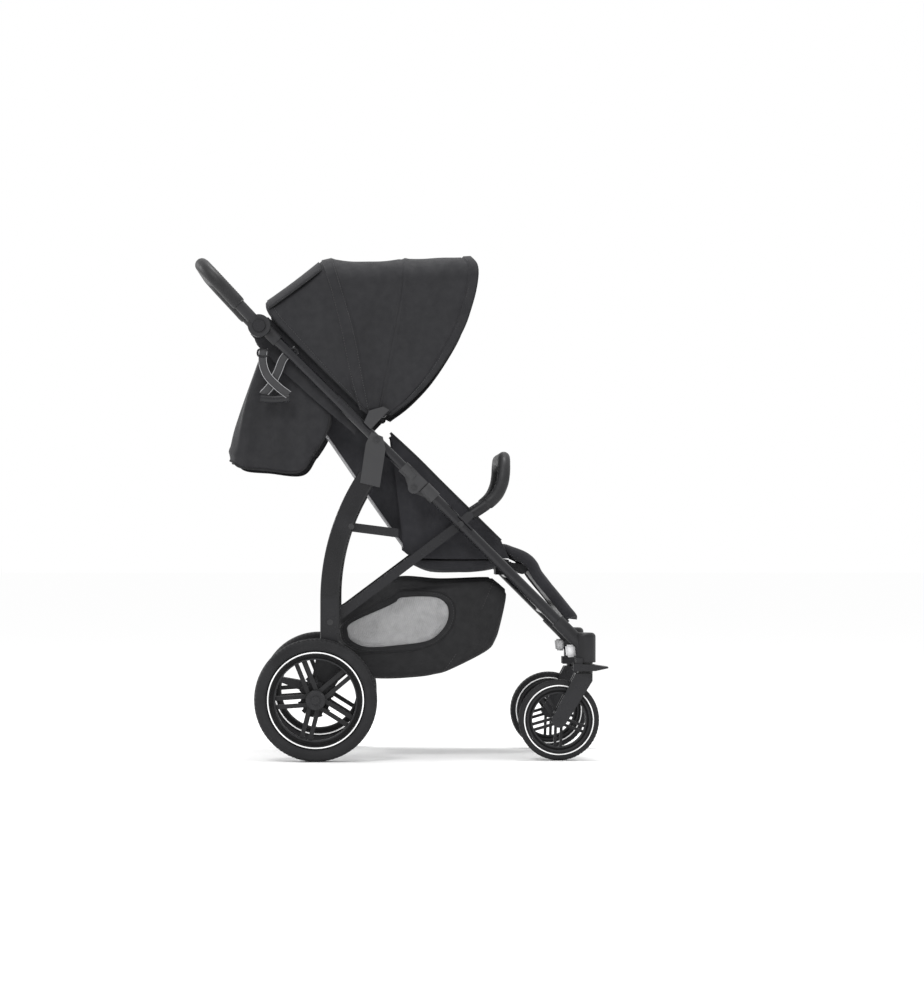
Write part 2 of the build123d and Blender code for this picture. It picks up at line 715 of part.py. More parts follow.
def harness():
    top = seat_low_z + seat_thickness + 2 * soft_gap
    strap = Pos(crotch_x, 0, top) * Box(5, 34, crotch_rise, align=(Align.CENTER, Align.CENTER, Align.MIN))
    shapes["crotch_strap"] = strap
    buckle = Box(16, 52, 42, align=(Align.CENTER, Align.CENTER, Align.MIN))
    buckle = fillet(buckle.edges().filter_by(Axis.X), 8)
    shapes["harness_buckle"] = Pos(crotch_x, 0, top + crotch_rise) * buckle


# Leg rest: a board on a round hinge, under a pad
def leg_rest():
    lean = Plane(origin=(rest_hinge_x, 0, rest_hinge_z), x_dir=(0, 1, 0),
                 z_dir=(sin(radians(-rest_angle)), 0, cos(radians(-rest_angle))))
    board = Box(2 * seat_half - 80, rest_length, board_thickness, align=(Align.CENTER, Align.MAX, Align.MIN))
    board = lean * Pos(0, 0, rest_hinge_radius - board_thickness) * board
    knuckle = cross_pin(rest_hinge_x, rest_hinge_z, rest_hinge_radius, -seat_half + 40, seat_half - 40)
    knuckle -= cross_pin(rest_hinge_x, rest_hinge_z, 5 + running, -seat_half, seat_half)
    shapes["leg_rest_board"] = board + knuckle
    pad = Box(2 * seat_half, rest_length + 14, rest_thickness, align=(Align.CENTER, Align.MAX, Align.MIN))
    pad = fillet(pad.edges().filter_by(Axis.Z), 20)
    shapes["leg_rest_pad"] = lean * Pos(0, 8, rest_hinge_radius + soft_gap) * pad


def rest_ears():
    """Ears under the seat base that carry the leg rest's hinge pins."""
    ears = []
    for side in (-1, 1):
        middle = side * (seat_half - 40 + side_gap + 4)
        ear = shape_from([
            (seat_front_x - 14, seat_low_z - 5), (seat_front_x - 14, seat_low_z - 18),
            (rest_hinge_x, rest_hinge_z - 9), (rest_hinge_x + 9, rest_hinge_z),
            (rest_hinge_x, rest_hinge_z + 9), (seat_front_x, seat_low_z - 5)])
        ear += Pos(rest_hinge_x, rest_hinge_z) * Circle(9)
        piece = side_plate(ear, middle, 8)
        piece += cross_pin(rest_hinge_x, rest_hinge_z, 5, *sorted((middle, middle - side * 30)))
        ears.append(piece)
    return ears[0] + ears[1]


# Basket: a fabric shell, open at the top
def basket_face(inset, lift):
    """Side outline of the basket, drawn in by an inset."""
    return shape_from([
        (basket_rear_x + inset, basket_top_z - 62 + lift),
        (basket_rear_x + 30 + inset, basket_low_z + 60 + inset),
        (-66, basket_low_z + 4 + inset),
        (70, basket_low_z + 6 + inset),
        (188 - inset, basket_low_z + 60 + inset),
        (basket_front_x - 18 - inset, basket_low_z + 100),
        (basket_front_x - inset, basket_top_z - 38),
        (basket_front_x - 30 - inset, basket_top_z + lift),
        (-8, basket_top_z + lift)])


def basket():
    outer = side_plate(basket_face(0, 0), 0, 2 * basket_half)
    outer = fillet(outer.edges().filter_by(Axis.Y).group_by(Axis.Z)[0], 20)
    inner = side_plate(basket_face(cloth, 30), 0, 2 * (basket_half - cloth))
    shapes["basket"] = outer - inner


# Bumper bar: an arched bar whose ends press into clips on the front tubes
def bumper():
    start = on_frame(strut_pin_along, bumper_off)
    top = bumper_off - bumper_radius - 1
    saddle = shape_from(frame_box(strut_pin_along - 26, strut_pin_along + 16, 8, top))
    clip = side_plate(saddle, -tube_y, 2 * lower_tube_radius)
    ear_y = -bumper_y - bumper_radius - side_gap - 3
    ear = Pos(*start) * Circle(9)
    ear += shape_from(frame_box(strut_pin_along - 9, strut_pin_along + 9, 8, bumper_off))
    clip += side_plate(ear, ear_y, 6)
    clip += cross_pin(*start, pin_radius, ear_y, -bumper_y)
    clip -= rod(place(0), place(fold_along), lower_tube_radius)
    shapes["bumper_clips"] = both_sides(clip)
    reach = bumper_points(start)
    bar = bent_bar(reach, bumper_bend, bumper_radius)
    for side in (-1, 1):
        bar -= cross_pin(*start, pin_radius + running, *sorted((side * (bumper_y - 14), side * (bumper_y + 20))))
    shapes["bumper_bar"] = bar


def bumper_points(start):
    out_x = start[0] + bumper_forward
    out_z = start[1] + bumper_forward * 0.58
    top_z = start[1] + bumper_height
    y = bumper_y
    right = [(start[0] - 4, -y, start[1] - 2), (out_x, -y, out_z), (out_x + 4, -y + 34, top_z)]
    return right + [(x, -side, z) for x, side, z in reversed(right)]


# Canopy: three bows, a fixed rear panel and two panels that fold back with the bows
def canopy_outline(inset):
    """Side outline of the whole hood, drawn in from the top and front by an inset."""
    top = canopy_top_z - inset
    rear = (hub[0] + 12 + inset, hub[1] + 48)
    shoulder = (canopy_rear_x + inset, top)
    brow = (canopy_front_x - 18, top)
    tip = (canopy_front_x - inset, top - 45)
    low = (canopy_pin[0] + 16 - inset, canopy_pin[1] - 4)
    front = Spline(tip, (canopy_front_x - 38 - inset, 906), (canopy_front_x - 90 - inset, 824), low)
    lines = Polyline(low, on_frame(canopy_pin_along - 4, edge_off), on_frame(hub_along - 30, edge_off),
                     rear, (rear[0] + 120, top - 10), shoulder, brow, tip)
    return make_face(front.edges() + lines.edges())


def hood_solid(inset):
    solid = side_plate(canopy_outline(inset), 0, 2 * (canopy_half - inset))
    tops = [e for e in solid.edges() if abs(abs(e.center().Y) - canopy_half + inset) < 0.01
            and e.center().Z > canopy_pin[1] + 150 and e.center().X < canopy_front_x - 60]
    return fillet(tops, canopy_corner - inset)


def canopy():
    outer = hood_solid(0)
    inner = hood_solid(cloth)
    low_cut = side_plate(shape_from([
        on_frame(canopy_pin_along - 60, edge_off - 60), on_frame(hub_along + 60, edge_off - 60),
        on_frame(hub_along + 60, edge_off + 2), on_frame(canopy_pin_along - 60, edge_off + 2)]), 0, 900)
    front_cut = Pos(14, 0, 0) * inner
    pin_room = cross_pin(*canopy_pin, 13, -2 * canopy_half, 2 * canopy_half)
    shell = outer - inner - front_cut - low_cut - pin_room
    cuts = []
    for x in (rear_bow_x, middle_bow_x):
        curve = Spline((x, canopy_top_z + 20), (x + 34, canopy_top_z - 110),
                       (x + 56, canopy_top_z - 200), (x + 64, canopy_pin[1] - 80))
        edges = Polyline((x + 64, canopy_pin[1] - 80), (900, canopy_pin[1] - 80),
                         (900, canopy_top_z + 20), (x, canopy_top_z + 20))
        cuts.append(side_plate(make_face(curve.edges() + edges.edges()), 0, 900))
    shapes["canopy_rear_panel"] = shell - cuts[0]
    shapes["canopy_middle_panel"] = (shell & (Pos(soft_gap, 0, 0) * cuts[0])) - cuts[1]
    shapes["canopy_front_panel"] = shell & (Pos(soft_gap, 0, 0) * cuts[1])


def bow(top_x, foot_y):
    """A spring bow that arches over the child from the canopy pins."""
    top_z = canopy_top_z - bow_inset
    half = canopy_half - bow_inset
    lean = Vector(top_x - canopy_pin[0], 0, top_z - canopy_pin[1])
    plane = Plane(origin=(canopy_pin[0], 0, canopy_pin[1]), x_dir=(0, 1, 0),
                  z_dir=Vector(0, 1, 0).cross(lean))
    flat = [(-foot_y, 0), (-half, lean.length), (half, lean.length), (foot_y, 0)]
    route = [plane.from_local_coords(Vector(y, rise, 0)) for y, rise in flat]
    solid = bent_bar([tuple(point) for point in route], canopy_corner - bow_inset, bow_radius)
    for side in (-1, 1):
        solid += cross_pin(*canopy_pin, 8, side * foot_y - bow_radius, side * foot_y + bow_radius)
    return solid - cross_pin(*canopy_pin, pin_radius + running, -400, 400)


def canopy_bows():
    foot_step = 2 * bow_radius + side_gap
    foot_y = canopy_half - bow_inset - side_gap
    shapes["canopy_front_bow"] = bow(canopy_front_x - 32, foot_y)
    shapes["canopy_middle_bow"] = bow(middle_bow_x + 4, foot_y - foot_step)
    shapes["canopy_rear_bow"] = bow(rear_bow_x + 16, foot_y - 2 * foot_step)
    outline = shape_from([
        on_frame(bracket_low, saddle_low), on_frame(bracket_high, saddle_low),
        on_frame(bracket_high + 10, saddle_high + 12), on_frame(canopy_pin_along + 10, canopy_pin_off + 11),
        on_frame(canopy_pin_along - 4, canopy_pin_off + 15), on_frame(bracket_low, saddle_high)])
    bracket = side_plate(outline, -canopy_half - 6, 5)
    saddle = shape_from(frame_box(bracket_low, bracket_high, saddle_low, saddle_high))
    bracket += side_plate(saddle, -tube_y, 2 * upper_tube_radius)
    bracket += cross_pin(*canopy_pin, pin_radius, -canopy_half - 6, -canopy_half + 26)
    bracket -= rod(place(fold_along), place(hub_along), upper_tube_radius)
    shapes["canopy_brackets"] = both_sides(bracket)


# Loose cloth behind the seat, open below
def back_curtain():
    rear = Spline((hub[0] + 8, hub[1] - 28), (hub[0] - 20, hub[1] - 110), (hub[0] - 52, hub[1] - 240),
                  (hub[0] - 64, hub[1] - 300))
    rest = Polyline((hub[0] - 64, hub[1] - 300), (hub[0] + 4, hub[1] - 314), (hub[0] + 92, hub[1] - 304),
                    (hub[0] + 132, hub[1] - 240), (hub[0] + 148, hub[1] - 185),
                    on_frame(curtain_low_along, -30), on_frame(hub_along - 40, -30),
                    (hub[0] + 8, hub[1] - 28))
    face = make_face(rear.edges() + rest.edges())
    outer = side_plate(face, 0, 2 * curtain_half)
    inner = Pos(cloth + 0.6, 0, -cloth) * side_plate(face, 0, 2 * (curtain_half - cloth))
    shapes["back_curtain"] = outer - inner


# Carrying strap: a flat webbing loop below the upper tube
def carry_strap():
    base = hub[1] - 156
    left = hub[0]
    right = hub[0] + 66
    drop = on_frame(hub_along - 90, -upper_tube_radius - soft_gap)
    rear = on_frame(hub_along - 60, -upper_tube_radius - soft_gap)
    outline = shape_from([rear, (left + 8, base + 40), (left, base), (right, base), (right - 4, base + 40), drop])
    w = strap_width / 2
    hole = shape_from([
        (rear[0] + w, rear[1] - 2.4 * w), (left + 8 + w, base + 40), (left + w, base + w),
        (right - w, base + w), (right - 4 - w, base + 40), (drop[0] - w, drop[1] - 2 * w)])
    shapes["carry_strap"] = side_plate(outline - hole, -tube_y, cloth)


def build():
    side_tubes()
    fold_knuckles()
    cross_tubes()
    frame_pins()
    hub_housings()
    handle()
    rear_legs()
    leg_head_plates()
    axle_shoes()
    sling_arms()
    struts()
    brake()
    rear_wheels()
    caster_housings()
    caster_forks()
    swivel_locks()
    seat()
    side_panels()
    backrest()
    harness()
    leg_rest()
    basket()
    bumper()
    canopy()
    canopy_bows()
    back_curtain()
    carry_strap()


build()
os.makedirs("parts", exist_ok=True)
for name, shape in shapes.items():
    export_step(shape, f"parts/{name}.step")
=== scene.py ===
import bpy
import bmesh
import json
import math
import numpy as np
from mathutils import Matrix, Vector


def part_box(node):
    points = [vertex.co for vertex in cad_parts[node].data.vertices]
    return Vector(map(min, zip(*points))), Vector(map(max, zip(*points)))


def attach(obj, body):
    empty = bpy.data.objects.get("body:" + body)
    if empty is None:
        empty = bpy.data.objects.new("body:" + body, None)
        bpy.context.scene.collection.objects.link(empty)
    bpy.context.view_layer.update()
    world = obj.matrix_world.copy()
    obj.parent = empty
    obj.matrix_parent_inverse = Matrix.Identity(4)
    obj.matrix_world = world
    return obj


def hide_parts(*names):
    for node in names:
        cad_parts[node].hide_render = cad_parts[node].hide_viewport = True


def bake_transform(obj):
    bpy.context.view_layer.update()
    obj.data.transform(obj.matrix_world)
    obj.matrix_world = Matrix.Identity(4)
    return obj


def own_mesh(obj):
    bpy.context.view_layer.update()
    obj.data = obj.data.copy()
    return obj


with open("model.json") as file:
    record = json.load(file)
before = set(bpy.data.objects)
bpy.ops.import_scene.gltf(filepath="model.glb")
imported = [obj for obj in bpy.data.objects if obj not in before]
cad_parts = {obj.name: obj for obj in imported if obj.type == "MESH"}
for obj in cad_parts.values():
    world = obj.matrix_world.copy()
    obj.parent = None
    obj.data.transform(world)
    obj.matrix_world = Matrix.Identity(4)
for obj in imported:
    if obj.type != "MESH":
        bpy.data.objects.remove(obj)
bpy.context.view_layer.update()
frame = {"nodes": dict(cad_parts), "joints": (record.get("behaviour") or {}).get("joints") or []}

scene = bpy.context.scene
nodes = frame["nodes"]
joints = {joint["name"]: joint for joint in frame["joints"]}
print("frame loaded:", len(nodes), "nodes")


def pivot(name):
    return Vector(joints[name]["pos_m"])


# camera: square on to the right side, a little above the seat
cameraSettings = {
    "place": (-0.0675, -8.27, 0.478),
    "lens": 136.4,
    "shift": (0.093, 0.035),
}
cameraData = bpy.data.cameras.new("sideCamera")
cameraData.lens = cameraSettings["lens"]
cameraData.sensor_width = 36
cameraData.shift_x, cameraData.shift_y = cameraSettings["shift"]
cameraData.clip_end = 60
camera = bpy.data.objects.new("sideCamera", cameraData)
camera.location = cameraSettings["place"]
camera.rotation_euler = (math.radians(90), 0, 0)
scene.collection.objects.link(camera)
scene.camera = camera


# material helpers
def link(tree, source, target):
    tree.links.new(source, target)


def node(tree, kind, **inputs):
    made = tree.nodes.new(kind)
    for name, value in inputs.items():
        made.inputs[name.replace("_", " ")].default_value = value
    return made


def newMaterial(name, colour, roughness, metallic=0.0, specular=0.5, sheen=0.0, coat=0.0):
    material = bpy.data.materials.new(name)
    material.use_nodes = True
    tree = material.node_tree
    shader = tree.nodes["Principled BSDF"]
    shader.inputs["Base Color"].default_value = (*colour, 1)
    shader.inputs["Roughness"].default_value = roughness
    shader.inputs["Metallic"].default_value = metallic
    shader.inputs["Specular IOR Level"].default_value = specular
    shader.inputs["Sheen Weight"].default_value = sheen
    shader.inputs["Sheen Roughness"].default_value = 0.45
    shader.inputs["Coat Weight"].default_value = coat
    shader.inputs["Coat Roughness"].default_value = 0.2
    return material, tree, shader


def place(tree):
    return tree.nodes.new("ShaderNodeTexCoord").outputs["Object"]


def noise(tree, scale, detail=4.0):
    made = node(tree, "ShaderNodeTexNoise", Scale=scale, Detail=detail)
    link(tree, place(tree), made.inputs["Vector"])
    return made.outputs["Fac"]


def spread(tree, value, low, high, start=0.3, end=0.7):
    made = node(tree, "ShaderNodeMapRange", From_Min=start, From_Max=end, To_Min=low, To_Max=high)
    link(tree, value, made.inputs["Value"])
    return made.outputs["Result"]


def mixColour(tree, factor, first, second):
    made = tree.nodes.new("ShaderNodeMix")
    made.data_type = "RGBA"
    link(tree, factor, made.inputs["Factor"])
    for socket, value in ((made.inputs[6], first), (made.inputs[7], second)):
        if isinstance(value, tuple):
            socket.default_value = (*value, 1)
        else:
            link(tree, value, socket)
    return made.outputs[2]


def combine(tree, operation, first, second):
    made = tree.nodes.new("ShaderNodeMath")
    made.operation = operation
    for socket, value in zip(made.inputs, (first, second)):
        if isinstance(value, (int, float)):
            socket.default_value = value
        else:
            link(tree, value, socket)
    return made.outputs[0]


# fine crossed threads for cloth
def weave(tree, spacing, slant=0.0):
    total = None
    for axis in ("X", "Y", "Z"):
        band = node(tree, "ShaderNodeTexWave", Scale=math.pi / (10 * spacing), Distortion=0.4)
        band.bands_direction = axis
        turn = node(tree, "ShaderNodeMapping", Rotation=(slant, slant, slant))
        link(tree, place(tree), turn.inputs["Vector"])
        link(tree, turn.outputs["Vector"], band.inputs["Vector"])
        total = band.outputs["Fac"] if total is None else combine(tree, "ADD", total, band.outputs["Fac"])
    return total


def bump(tree, shader, height, strength, distance):
    made = node(tree, "ShaderNodeBump", Strength=strength, Distance=distance)
    link(tree, height, made.inputs["Height"])
    link(tree, made.outputs["Normal"], shader.inputs["Normal"])


def clothMaterial(name, colour, spacing, sheen, roughness=0.85, mottle=0.35, slant=0.0):
    material, tree, shader = newMaterial(name, colour, roughness, sheen=sheen, specular=0.3)
    threads = weave(tree, spacing, slant)
    soft = noise(tree, 9, 3)
    dark = tuple(c * (1 - mottle) for c in colour)
    light = tuple(c * (1 + mottle) for c in colour)
    tone = mixColour(tree, spread(tree, soft, 0, 1), dark, light)
    fleck = spread(tree, noise(tree, 900, 2), 0, 0.35, 0.45, 0.7)
    link(tree, mixColour(tree, fleck, tone, light), shader.inputs["Base Color"])
    link(tree, spread(tree, noise(tree, 60), roughness - 0.08, roughness + 0.08), shader.inputs["Roughness"])
    bump(tree, shader, combine(tree, "ADD", threads, noise(tree, 400, 3)), 0.35, spacing * 0.25)
    return material


def plasticMaterial(name, colour, roughness, grain, grainScale=700, specular=0.5, coat=0.0):
    material, tree, shader = newMaterial(name, colour, roughness, specular=specular, coat=coat)
    light = tuple(c * 1.35 for c in colour)
    dark = tuple(c * 0.85 for c in colour)
    # painted highlight: sharp convex edges get a lighter colour from pointiness
    edges = tree.nodes.new("ShaderNodeNewGeometry").outputs["Pointiness"]
    edgeHighlight = spread(tree, edges, 0, 0.7, 0.52, 0.6)
    tone = mixColour(tree, spread(tree, noise(tree, 14), 0, 1), dark, light)
    edgeHighlightColour = tuple(min(1, c * 2.2) for c in colour)
    link(tree, mixColour(tree, edgeHighlight, tone, edgeHighlightColour), shader.inputs["Base Color"])
    link(tree, spread(tree, noise(tree, 40), roughness - 0.06, roughness + 0.08), shader.inputs["Roughness"])
    bump(tree, shader, noise(tree, grainScale, 2), grain, 0.0004)
    return material


def leatherMaterial(name, colour):
    material, tree, shader = newMaterial(name, colour, 0.5, specular=0.3)
    cells = node(tree, "ShaderNodeTexVoronoi", Scale=650)
    link(tree, place(tree), cells.inputs["Vector"])
    tone = mixColour(tree, spread(tree, noise(tree, 30), 0, 1), tuple(c * 0.8 for c in colour),
                     tuple(c * 1.4 for c in colour))
    link(tree, tone, shader.inputs["Base Color"])
    link(tree, spread(tree, noise(tree, 90), 0.44, 0.6), shader.inputs["Roughness"])
    bump(tree, shader, combine(tree, "ADD", cells.outputs["Distance"], noise(tree, 200)), 0.12, 0.0002)
    return material


def metalMaterial(name, colour, roughness):
    material, tree, shader = newMaterial(name, colour, roughness, metallic=1.0)
    tone = mixColour(tree, spread(tree, noise(tree, 120), 0, 1), tuple(c * 0.75 for c in colour), colour)
    link(tree, tone, shader.inputs["Base Color"])
    link(tree, spread(tree, noise(tree, 300), roughness - 0.08, roughness + 0.12), shader.inputs["Roughness"])
    bump(tree, shader, noise(tree, 1200, 2), 0.1, 0.0002)
    return material


def netMaterial(name, colour):
    material, tree, shader = newMaterial(name, colour, 0.8, specular=0.2)
    threads = weave(tree, 0.0021, 0.6)
    soft = spread(tree, noise(tree, 26, 3), 0.55, 0.8)
    alpha = combine(tree, "ADD", spread(tree, threads, 0.0, 0.2, 0.8, 2.2), soft)
    link(tree, alpha, shader.inputs["Alpha"])
    tone = mixColour(tree, spread(tree, noise(tree, 70), 0, 1), tuple(c * 0.8 for c in colour), colour)
    link(tree, tone, shader.inputs["Base Color"])
    bump(tree, shader, threads, 0.4, 0.0005)
    return material


finish = {
    "frame": plasticMaterial("satinFrameCoat", (0.006, 0.006, 0.007), 0.25, 0.04, 900, 0.3, 0.05),
    "rivet": metalMaterial("rivetSteel", (0.42, 0.42, 0.43), 0.35),
    "darkRivet": metalMaterial("blackenedRivet", (0.06, 0.06, 0.062), 0.4),
    "moulded": plasticMaterial("grainedMoulding", (0.011, 0.011, 0.012), 0.46, 0.25, 700, 0.25),
    "gloss": plasticMaterial("smoothMoulding", (0.007, 0.007, 0.008), 0.26, 0.05, 700, 0.3),
    "bracket": plasticMaterial("bracketMoulding", (0.019, 0.019, 0.02), 0.5, 0.2, 700, 0.3),
    "tyre": plasticMaterial("tyreRubber", (0.015, 0.015, 0.016), 0.7, 0.5, 500, 0.2),
    "whiteRing": plasticMaterial("whiteTyreRing", (0.8, 0.8, 0.8), 0.5, 0.1),
    "leather": leatherMaterial("stitchedLeatherette", (0.013, 0.013, 0.014)),
    "hood": clothMaterial("hoodTwill", (0.017, 0.017, 0.019), 0.0012, 0.06, 0.8, 0.14, 0.78),
    "binding": clothMaterial("hemTape", (0.010, 0.010, 0.011), 0.0016, 0.04, 0.75, 0.15),
    "basket": clothMaterial("basketCloth", (0.011, 0.011, 0.012), 0.0014, 0.03, 0.7, 0.2),
    "seat": clothMaterial("seatCloth", (0.017, 0.017, 0.020), 0.0013, 0.08, 0.85, 0.3),
    "webbing": clothMaterial("strapWebbing", (0.035, 0.035, 0.037), 0.0022, 0.08, 0.7, 0.25),
    "piping": clothMaterial("palePiping", (0.32, 0.32, 0.33), 0.001, 0.1, 0.6, 0.15),
    "thread": clothMaterial("sewingThread", (0.05, 0.05, 0.052), 0.0006, 0.1, 0.6, 0.1),
    "net": netMaterial("basketNet", (0.36, 0.36, 0.365)),
    "greyTab": plasticMaterial("greyTab", (0.35, 0.35, 0.355), 0.5, 0.15),
}
print("finishes made:", len(finish))

# the listed imported nodes keep their shape and get their finish from the table
nodeFinish = {
    "frame": ["front_tube_right", "front_tube_left", "upper_tube_right", "upper_tube_left", "cross_tubes",
              "rear_leg_right", "rear_leg_left", "struts", "sling_arms", "rear_axle", "handle_bar",
              "canopy_rear_bow", "canopy_middle_bow", "canopy_front_bow"],
    "darkRivet": ["strut_pins", "frame_pins", "leg_screws"],
    "bracket": ["leg_head_plates", "canopy_brackets", "lower_knuckles", "upper_knuckles"],
    "moulded": ["caster_housings", "axle_shoes", "hub_housings", "hub_caps", "seat_base", "leg_rest_board",
                "backrest_board", "brake_pedal", "brake_bar", "bumper_clips", "rear_rim_right",
                "rear_rim_left", "front_rim_right", "front_rim_left"],
    "gloss": ["swivel_lock_right", "swivel_lock_left", "caster_fork_right", "caster_fork_left",
              "harness_buckle", "hub_button_right", "hub_button_left"],
}
for key, names in nodeFinish.items():
    for name in names:
        if name in nodes:
            nodes[name].data.materials.clear()
            nodes[name].data.materials.append(finish[key])
            for face in nodes[name].data.polygons:
                face.material_index = 0
print("node finishes set")


# mesh helpers
def meshPiece(name, points, faces, material, body=None, smooth=True):
    mesh = bpy.data.meshes.new(name)
    mesh.from_pydata([tuple(map(float, p)) for p in points], [], [tuple(map(int, f)) for f in faces])
    mesh.validate()
    mesh.update()
    piece = bpy.data.objects.new(name, mesh)
    scene.collection.objects.link(piece)
    mesh.materials.append(finish[material])
    if smooth:
        mesh.polygons.foreach_set("use_smooth", [True] * len(mesh.polygons))
    if body:
        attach(piece, body)
    return piece


def gridFaces(rows, columns, wrapRows=False, wrapColumns=False):
    faces = []
    for i in range(rows if wrapRows else rows - 1):
        for j in range(columns if wrapColumns else columns - 1):
            a, b = i, (i + 1) % rows
            c, d = j, (j + 1) % columns
            faces.append((a * columns + c, b * columns + c, b * columns + d, a * columns + d))
    return faces


def gridNormals(grid):
    across = np.gradient(grid, axis=0)
    along = np.gradient(grid, axis=1)
    normals = np.cross(across, along)
    return normals / np.maximum(np.linalg.norm(normals, axis=2, keepdims=True), 1e-9)


def smoothLine(points, count):
    points = np.array(points, float)
    padded = np.vstack([2 * points[0] - points[1], points, 2 * points[-1] - points[-2]])
    fine = []
    for k in range(1, len(padded) - 2):
        p0, p1, p2, p3 = padded[k - 1:k + 3]
        for t in np.linspace(0, 1, 24, endpoint=False):
            fine.append(0.5 * (2 * p1 + (p2 - p0) * t + (2 * p0 - 5 * p1 + 4 * p2 - p3) * t * t
                               + (3 * p1 - p0 - 3 * p2 + p3) * t ** 3))
    fine.append(padded[-2])
    return evenly(np.array(fine), count)


# the same line with evenly spaced points
def evenly(points, count, closed=False):
    points = np.array(points, float)
    if closed:
        points = np.vstack([points, points[:1]])
    steps = np.linalg.norm(np.diff(points, axis=0), axis=1)
    travel = np.concatenate([[0], np.cumsum(steps)])
    wanted = np.linspace(0, travel[-1], count + 1)[:-1] if closed else np.linspace(0, travel[-1], count)
    return np.stack([np.interp(wanted, travel, points[:, k]) for k in range(points.shape[1])], 1)


def lineLength(points):
    return float(np.linalg.norm(np.diff(np.array(points), axis=0), axis=1).sum())


# steady side and up directions along a line
def frames(line):
    tangents = np.gradient(line, axis=0)
    tangents /= np.maximum(np.linalg.norm(tangents, axis=1, keepdims=True), 1e-9)
    side = np.cross(tangents[0], (0.0, 0.0, 1.0))
    if np.linalg.norm(side) < 1e-3:
        side = np.cross(tangents[0], (1.0, 0.0, 0.0))
    sides = []
    for tangent in tangents:
        side = side - tangent * side.dot(tangent)
        side = side / np.linalg.norm(side)
        sides.append(side)
    sides = np.array(sides)
    return tangents, sides, np.cross(tangents, sides)


def tubePiece(name, line, radii, material, body=None, segments=16, flat=1.0):
    line = np.array(line, float)
    radii = np.broadcast_to(radii, len(line))
    tangents, sides, ups = frames(line)
    rings = []
    for point, radius, side, up in zip(line, radii, sides, ups):
        for k in range(segments):
            angle = 2 * math.pi * k / segments
            rings.append(point + radius * (math.cos(angle) * side + math.sin(angle) * up * flat))
    faces = gridFaces(len(line), segments, wrapColumns=True)
    faces.append(tuple(range(segments - 1, -1, -1)))
    faces.append(tuple((len(line) - 1) * segments + k for k in range(segments)))
    return meshPiece(name, rings, faces, material, body)


# one small thread after another along a seam
def stitchRow(name, line, body, spacing=0.0055, length=0.0035, radius=0.0005):
    count = max(2, int(lineLength(line) / spacing))
    line = evenly(line, count)
    tangents, sides, ups = frames(line)
    points, faces = [], []
    for point, tangent, side, up in zip(line, tangents, sides, ups):
        start = len(points)
        for share, width in ((-0.5, 0.3), (-0.3, 1), (0.3, 1), (0.5, 0.3)):
            for k in range(5):
                angle = 2 * math.pi * k / 5
                ring = radius * width * (math.cos(angle) * side + math.sin(angle) * up)
                points.append(point + tangent * share * length + ring)
        for ring in range(3):
            for k in range(5):
                a = start + ring * 5 + k
                b = start + ring * 5 + (k + 1) % 5
                faces.append((a, b, b + 5, a + 5))
        faces.append(tuple(start + k for k in range(4, -1, -1)))
        faces.append(tuple(start + 15 + k for k in range(5)))
    return meshPiece(name, points, faces, "thread", body)


def thicken(piece, thickness, offset=0.0):
    modifier = piece.modifiers.new("clothThickness", "SOLIDIFY")
    modifier.thickness = thickness
    modifier.offset = offset
    applyModifiers(piece)
    return piece


def applyModifiers(piece):
    graph = bpy.context.evaluated_depsgraph_get()
    graph.update()
    made = bpy.data.meshes.new_from_object(piece.evaluated_get(graph))
    old = piece.data
    piece.modifiers.clear()
    piece.data = made
    name = old.name
    bpy.data.meshes.remove(old)
    made.name = name
    made.polygons.foreach_set("use_smooth", [True] * len(made.polygons))


# wheels: tyres with a shallow tread and a white ring on each side wall
tyreSettings = {
    "rear": {"radius": 0.130, "width": 0.045, "seat": 0.103, "ring": (0.0992, 0.1018), "blocks": 84},
    "front": {"radius": 0.086, "width": 0.034, "seat": 0.0683, "ring": (0.0718, 0.0741), "blocks": 60},
}


def tyreProfile(settings):
    radius, half, seat = settings["radius"], settings["width"] / 2, settings["seat"]
    ringLow, ringHigh = settings["ring"]
    height = radius - seat
    wall = []
    for share in (0.0, 0.08, 0.2, 0.32):
        wall.append((seat + height * share * 0.25, half * (0.72 + share * 0.5)))
    wall += [(ringLow, half * 0.925), (ringLow + 0.0002, half * 0.94), (ringHigh - 0.0002, half * 0.955),
             (ringHigh, half * 0.95)]
    for share in (0.5, 0.6, 0.7):
        wall.append((seat + height * share, half * (0.995 - (share - 0.5) * 0.1)))
    crown = []
    for k in range(15):
        angle = math.radians(12 + 78 * k / 14)
        across = half * 0.97 * math.cos(angle) ** 0.55
        rise = seat + height * 0.72 + height * 0.28 * math.sin(angle) ** 0.8
        crown.append((rise, across))
    wall = [pair for pair in wall if pair[0] < crown[0][0]]
    wall = sorted(wall)
    side = wall + crown
    full = side + [(r, -a) for r, a in reversed(side[:-1])]
    return np.array(full)


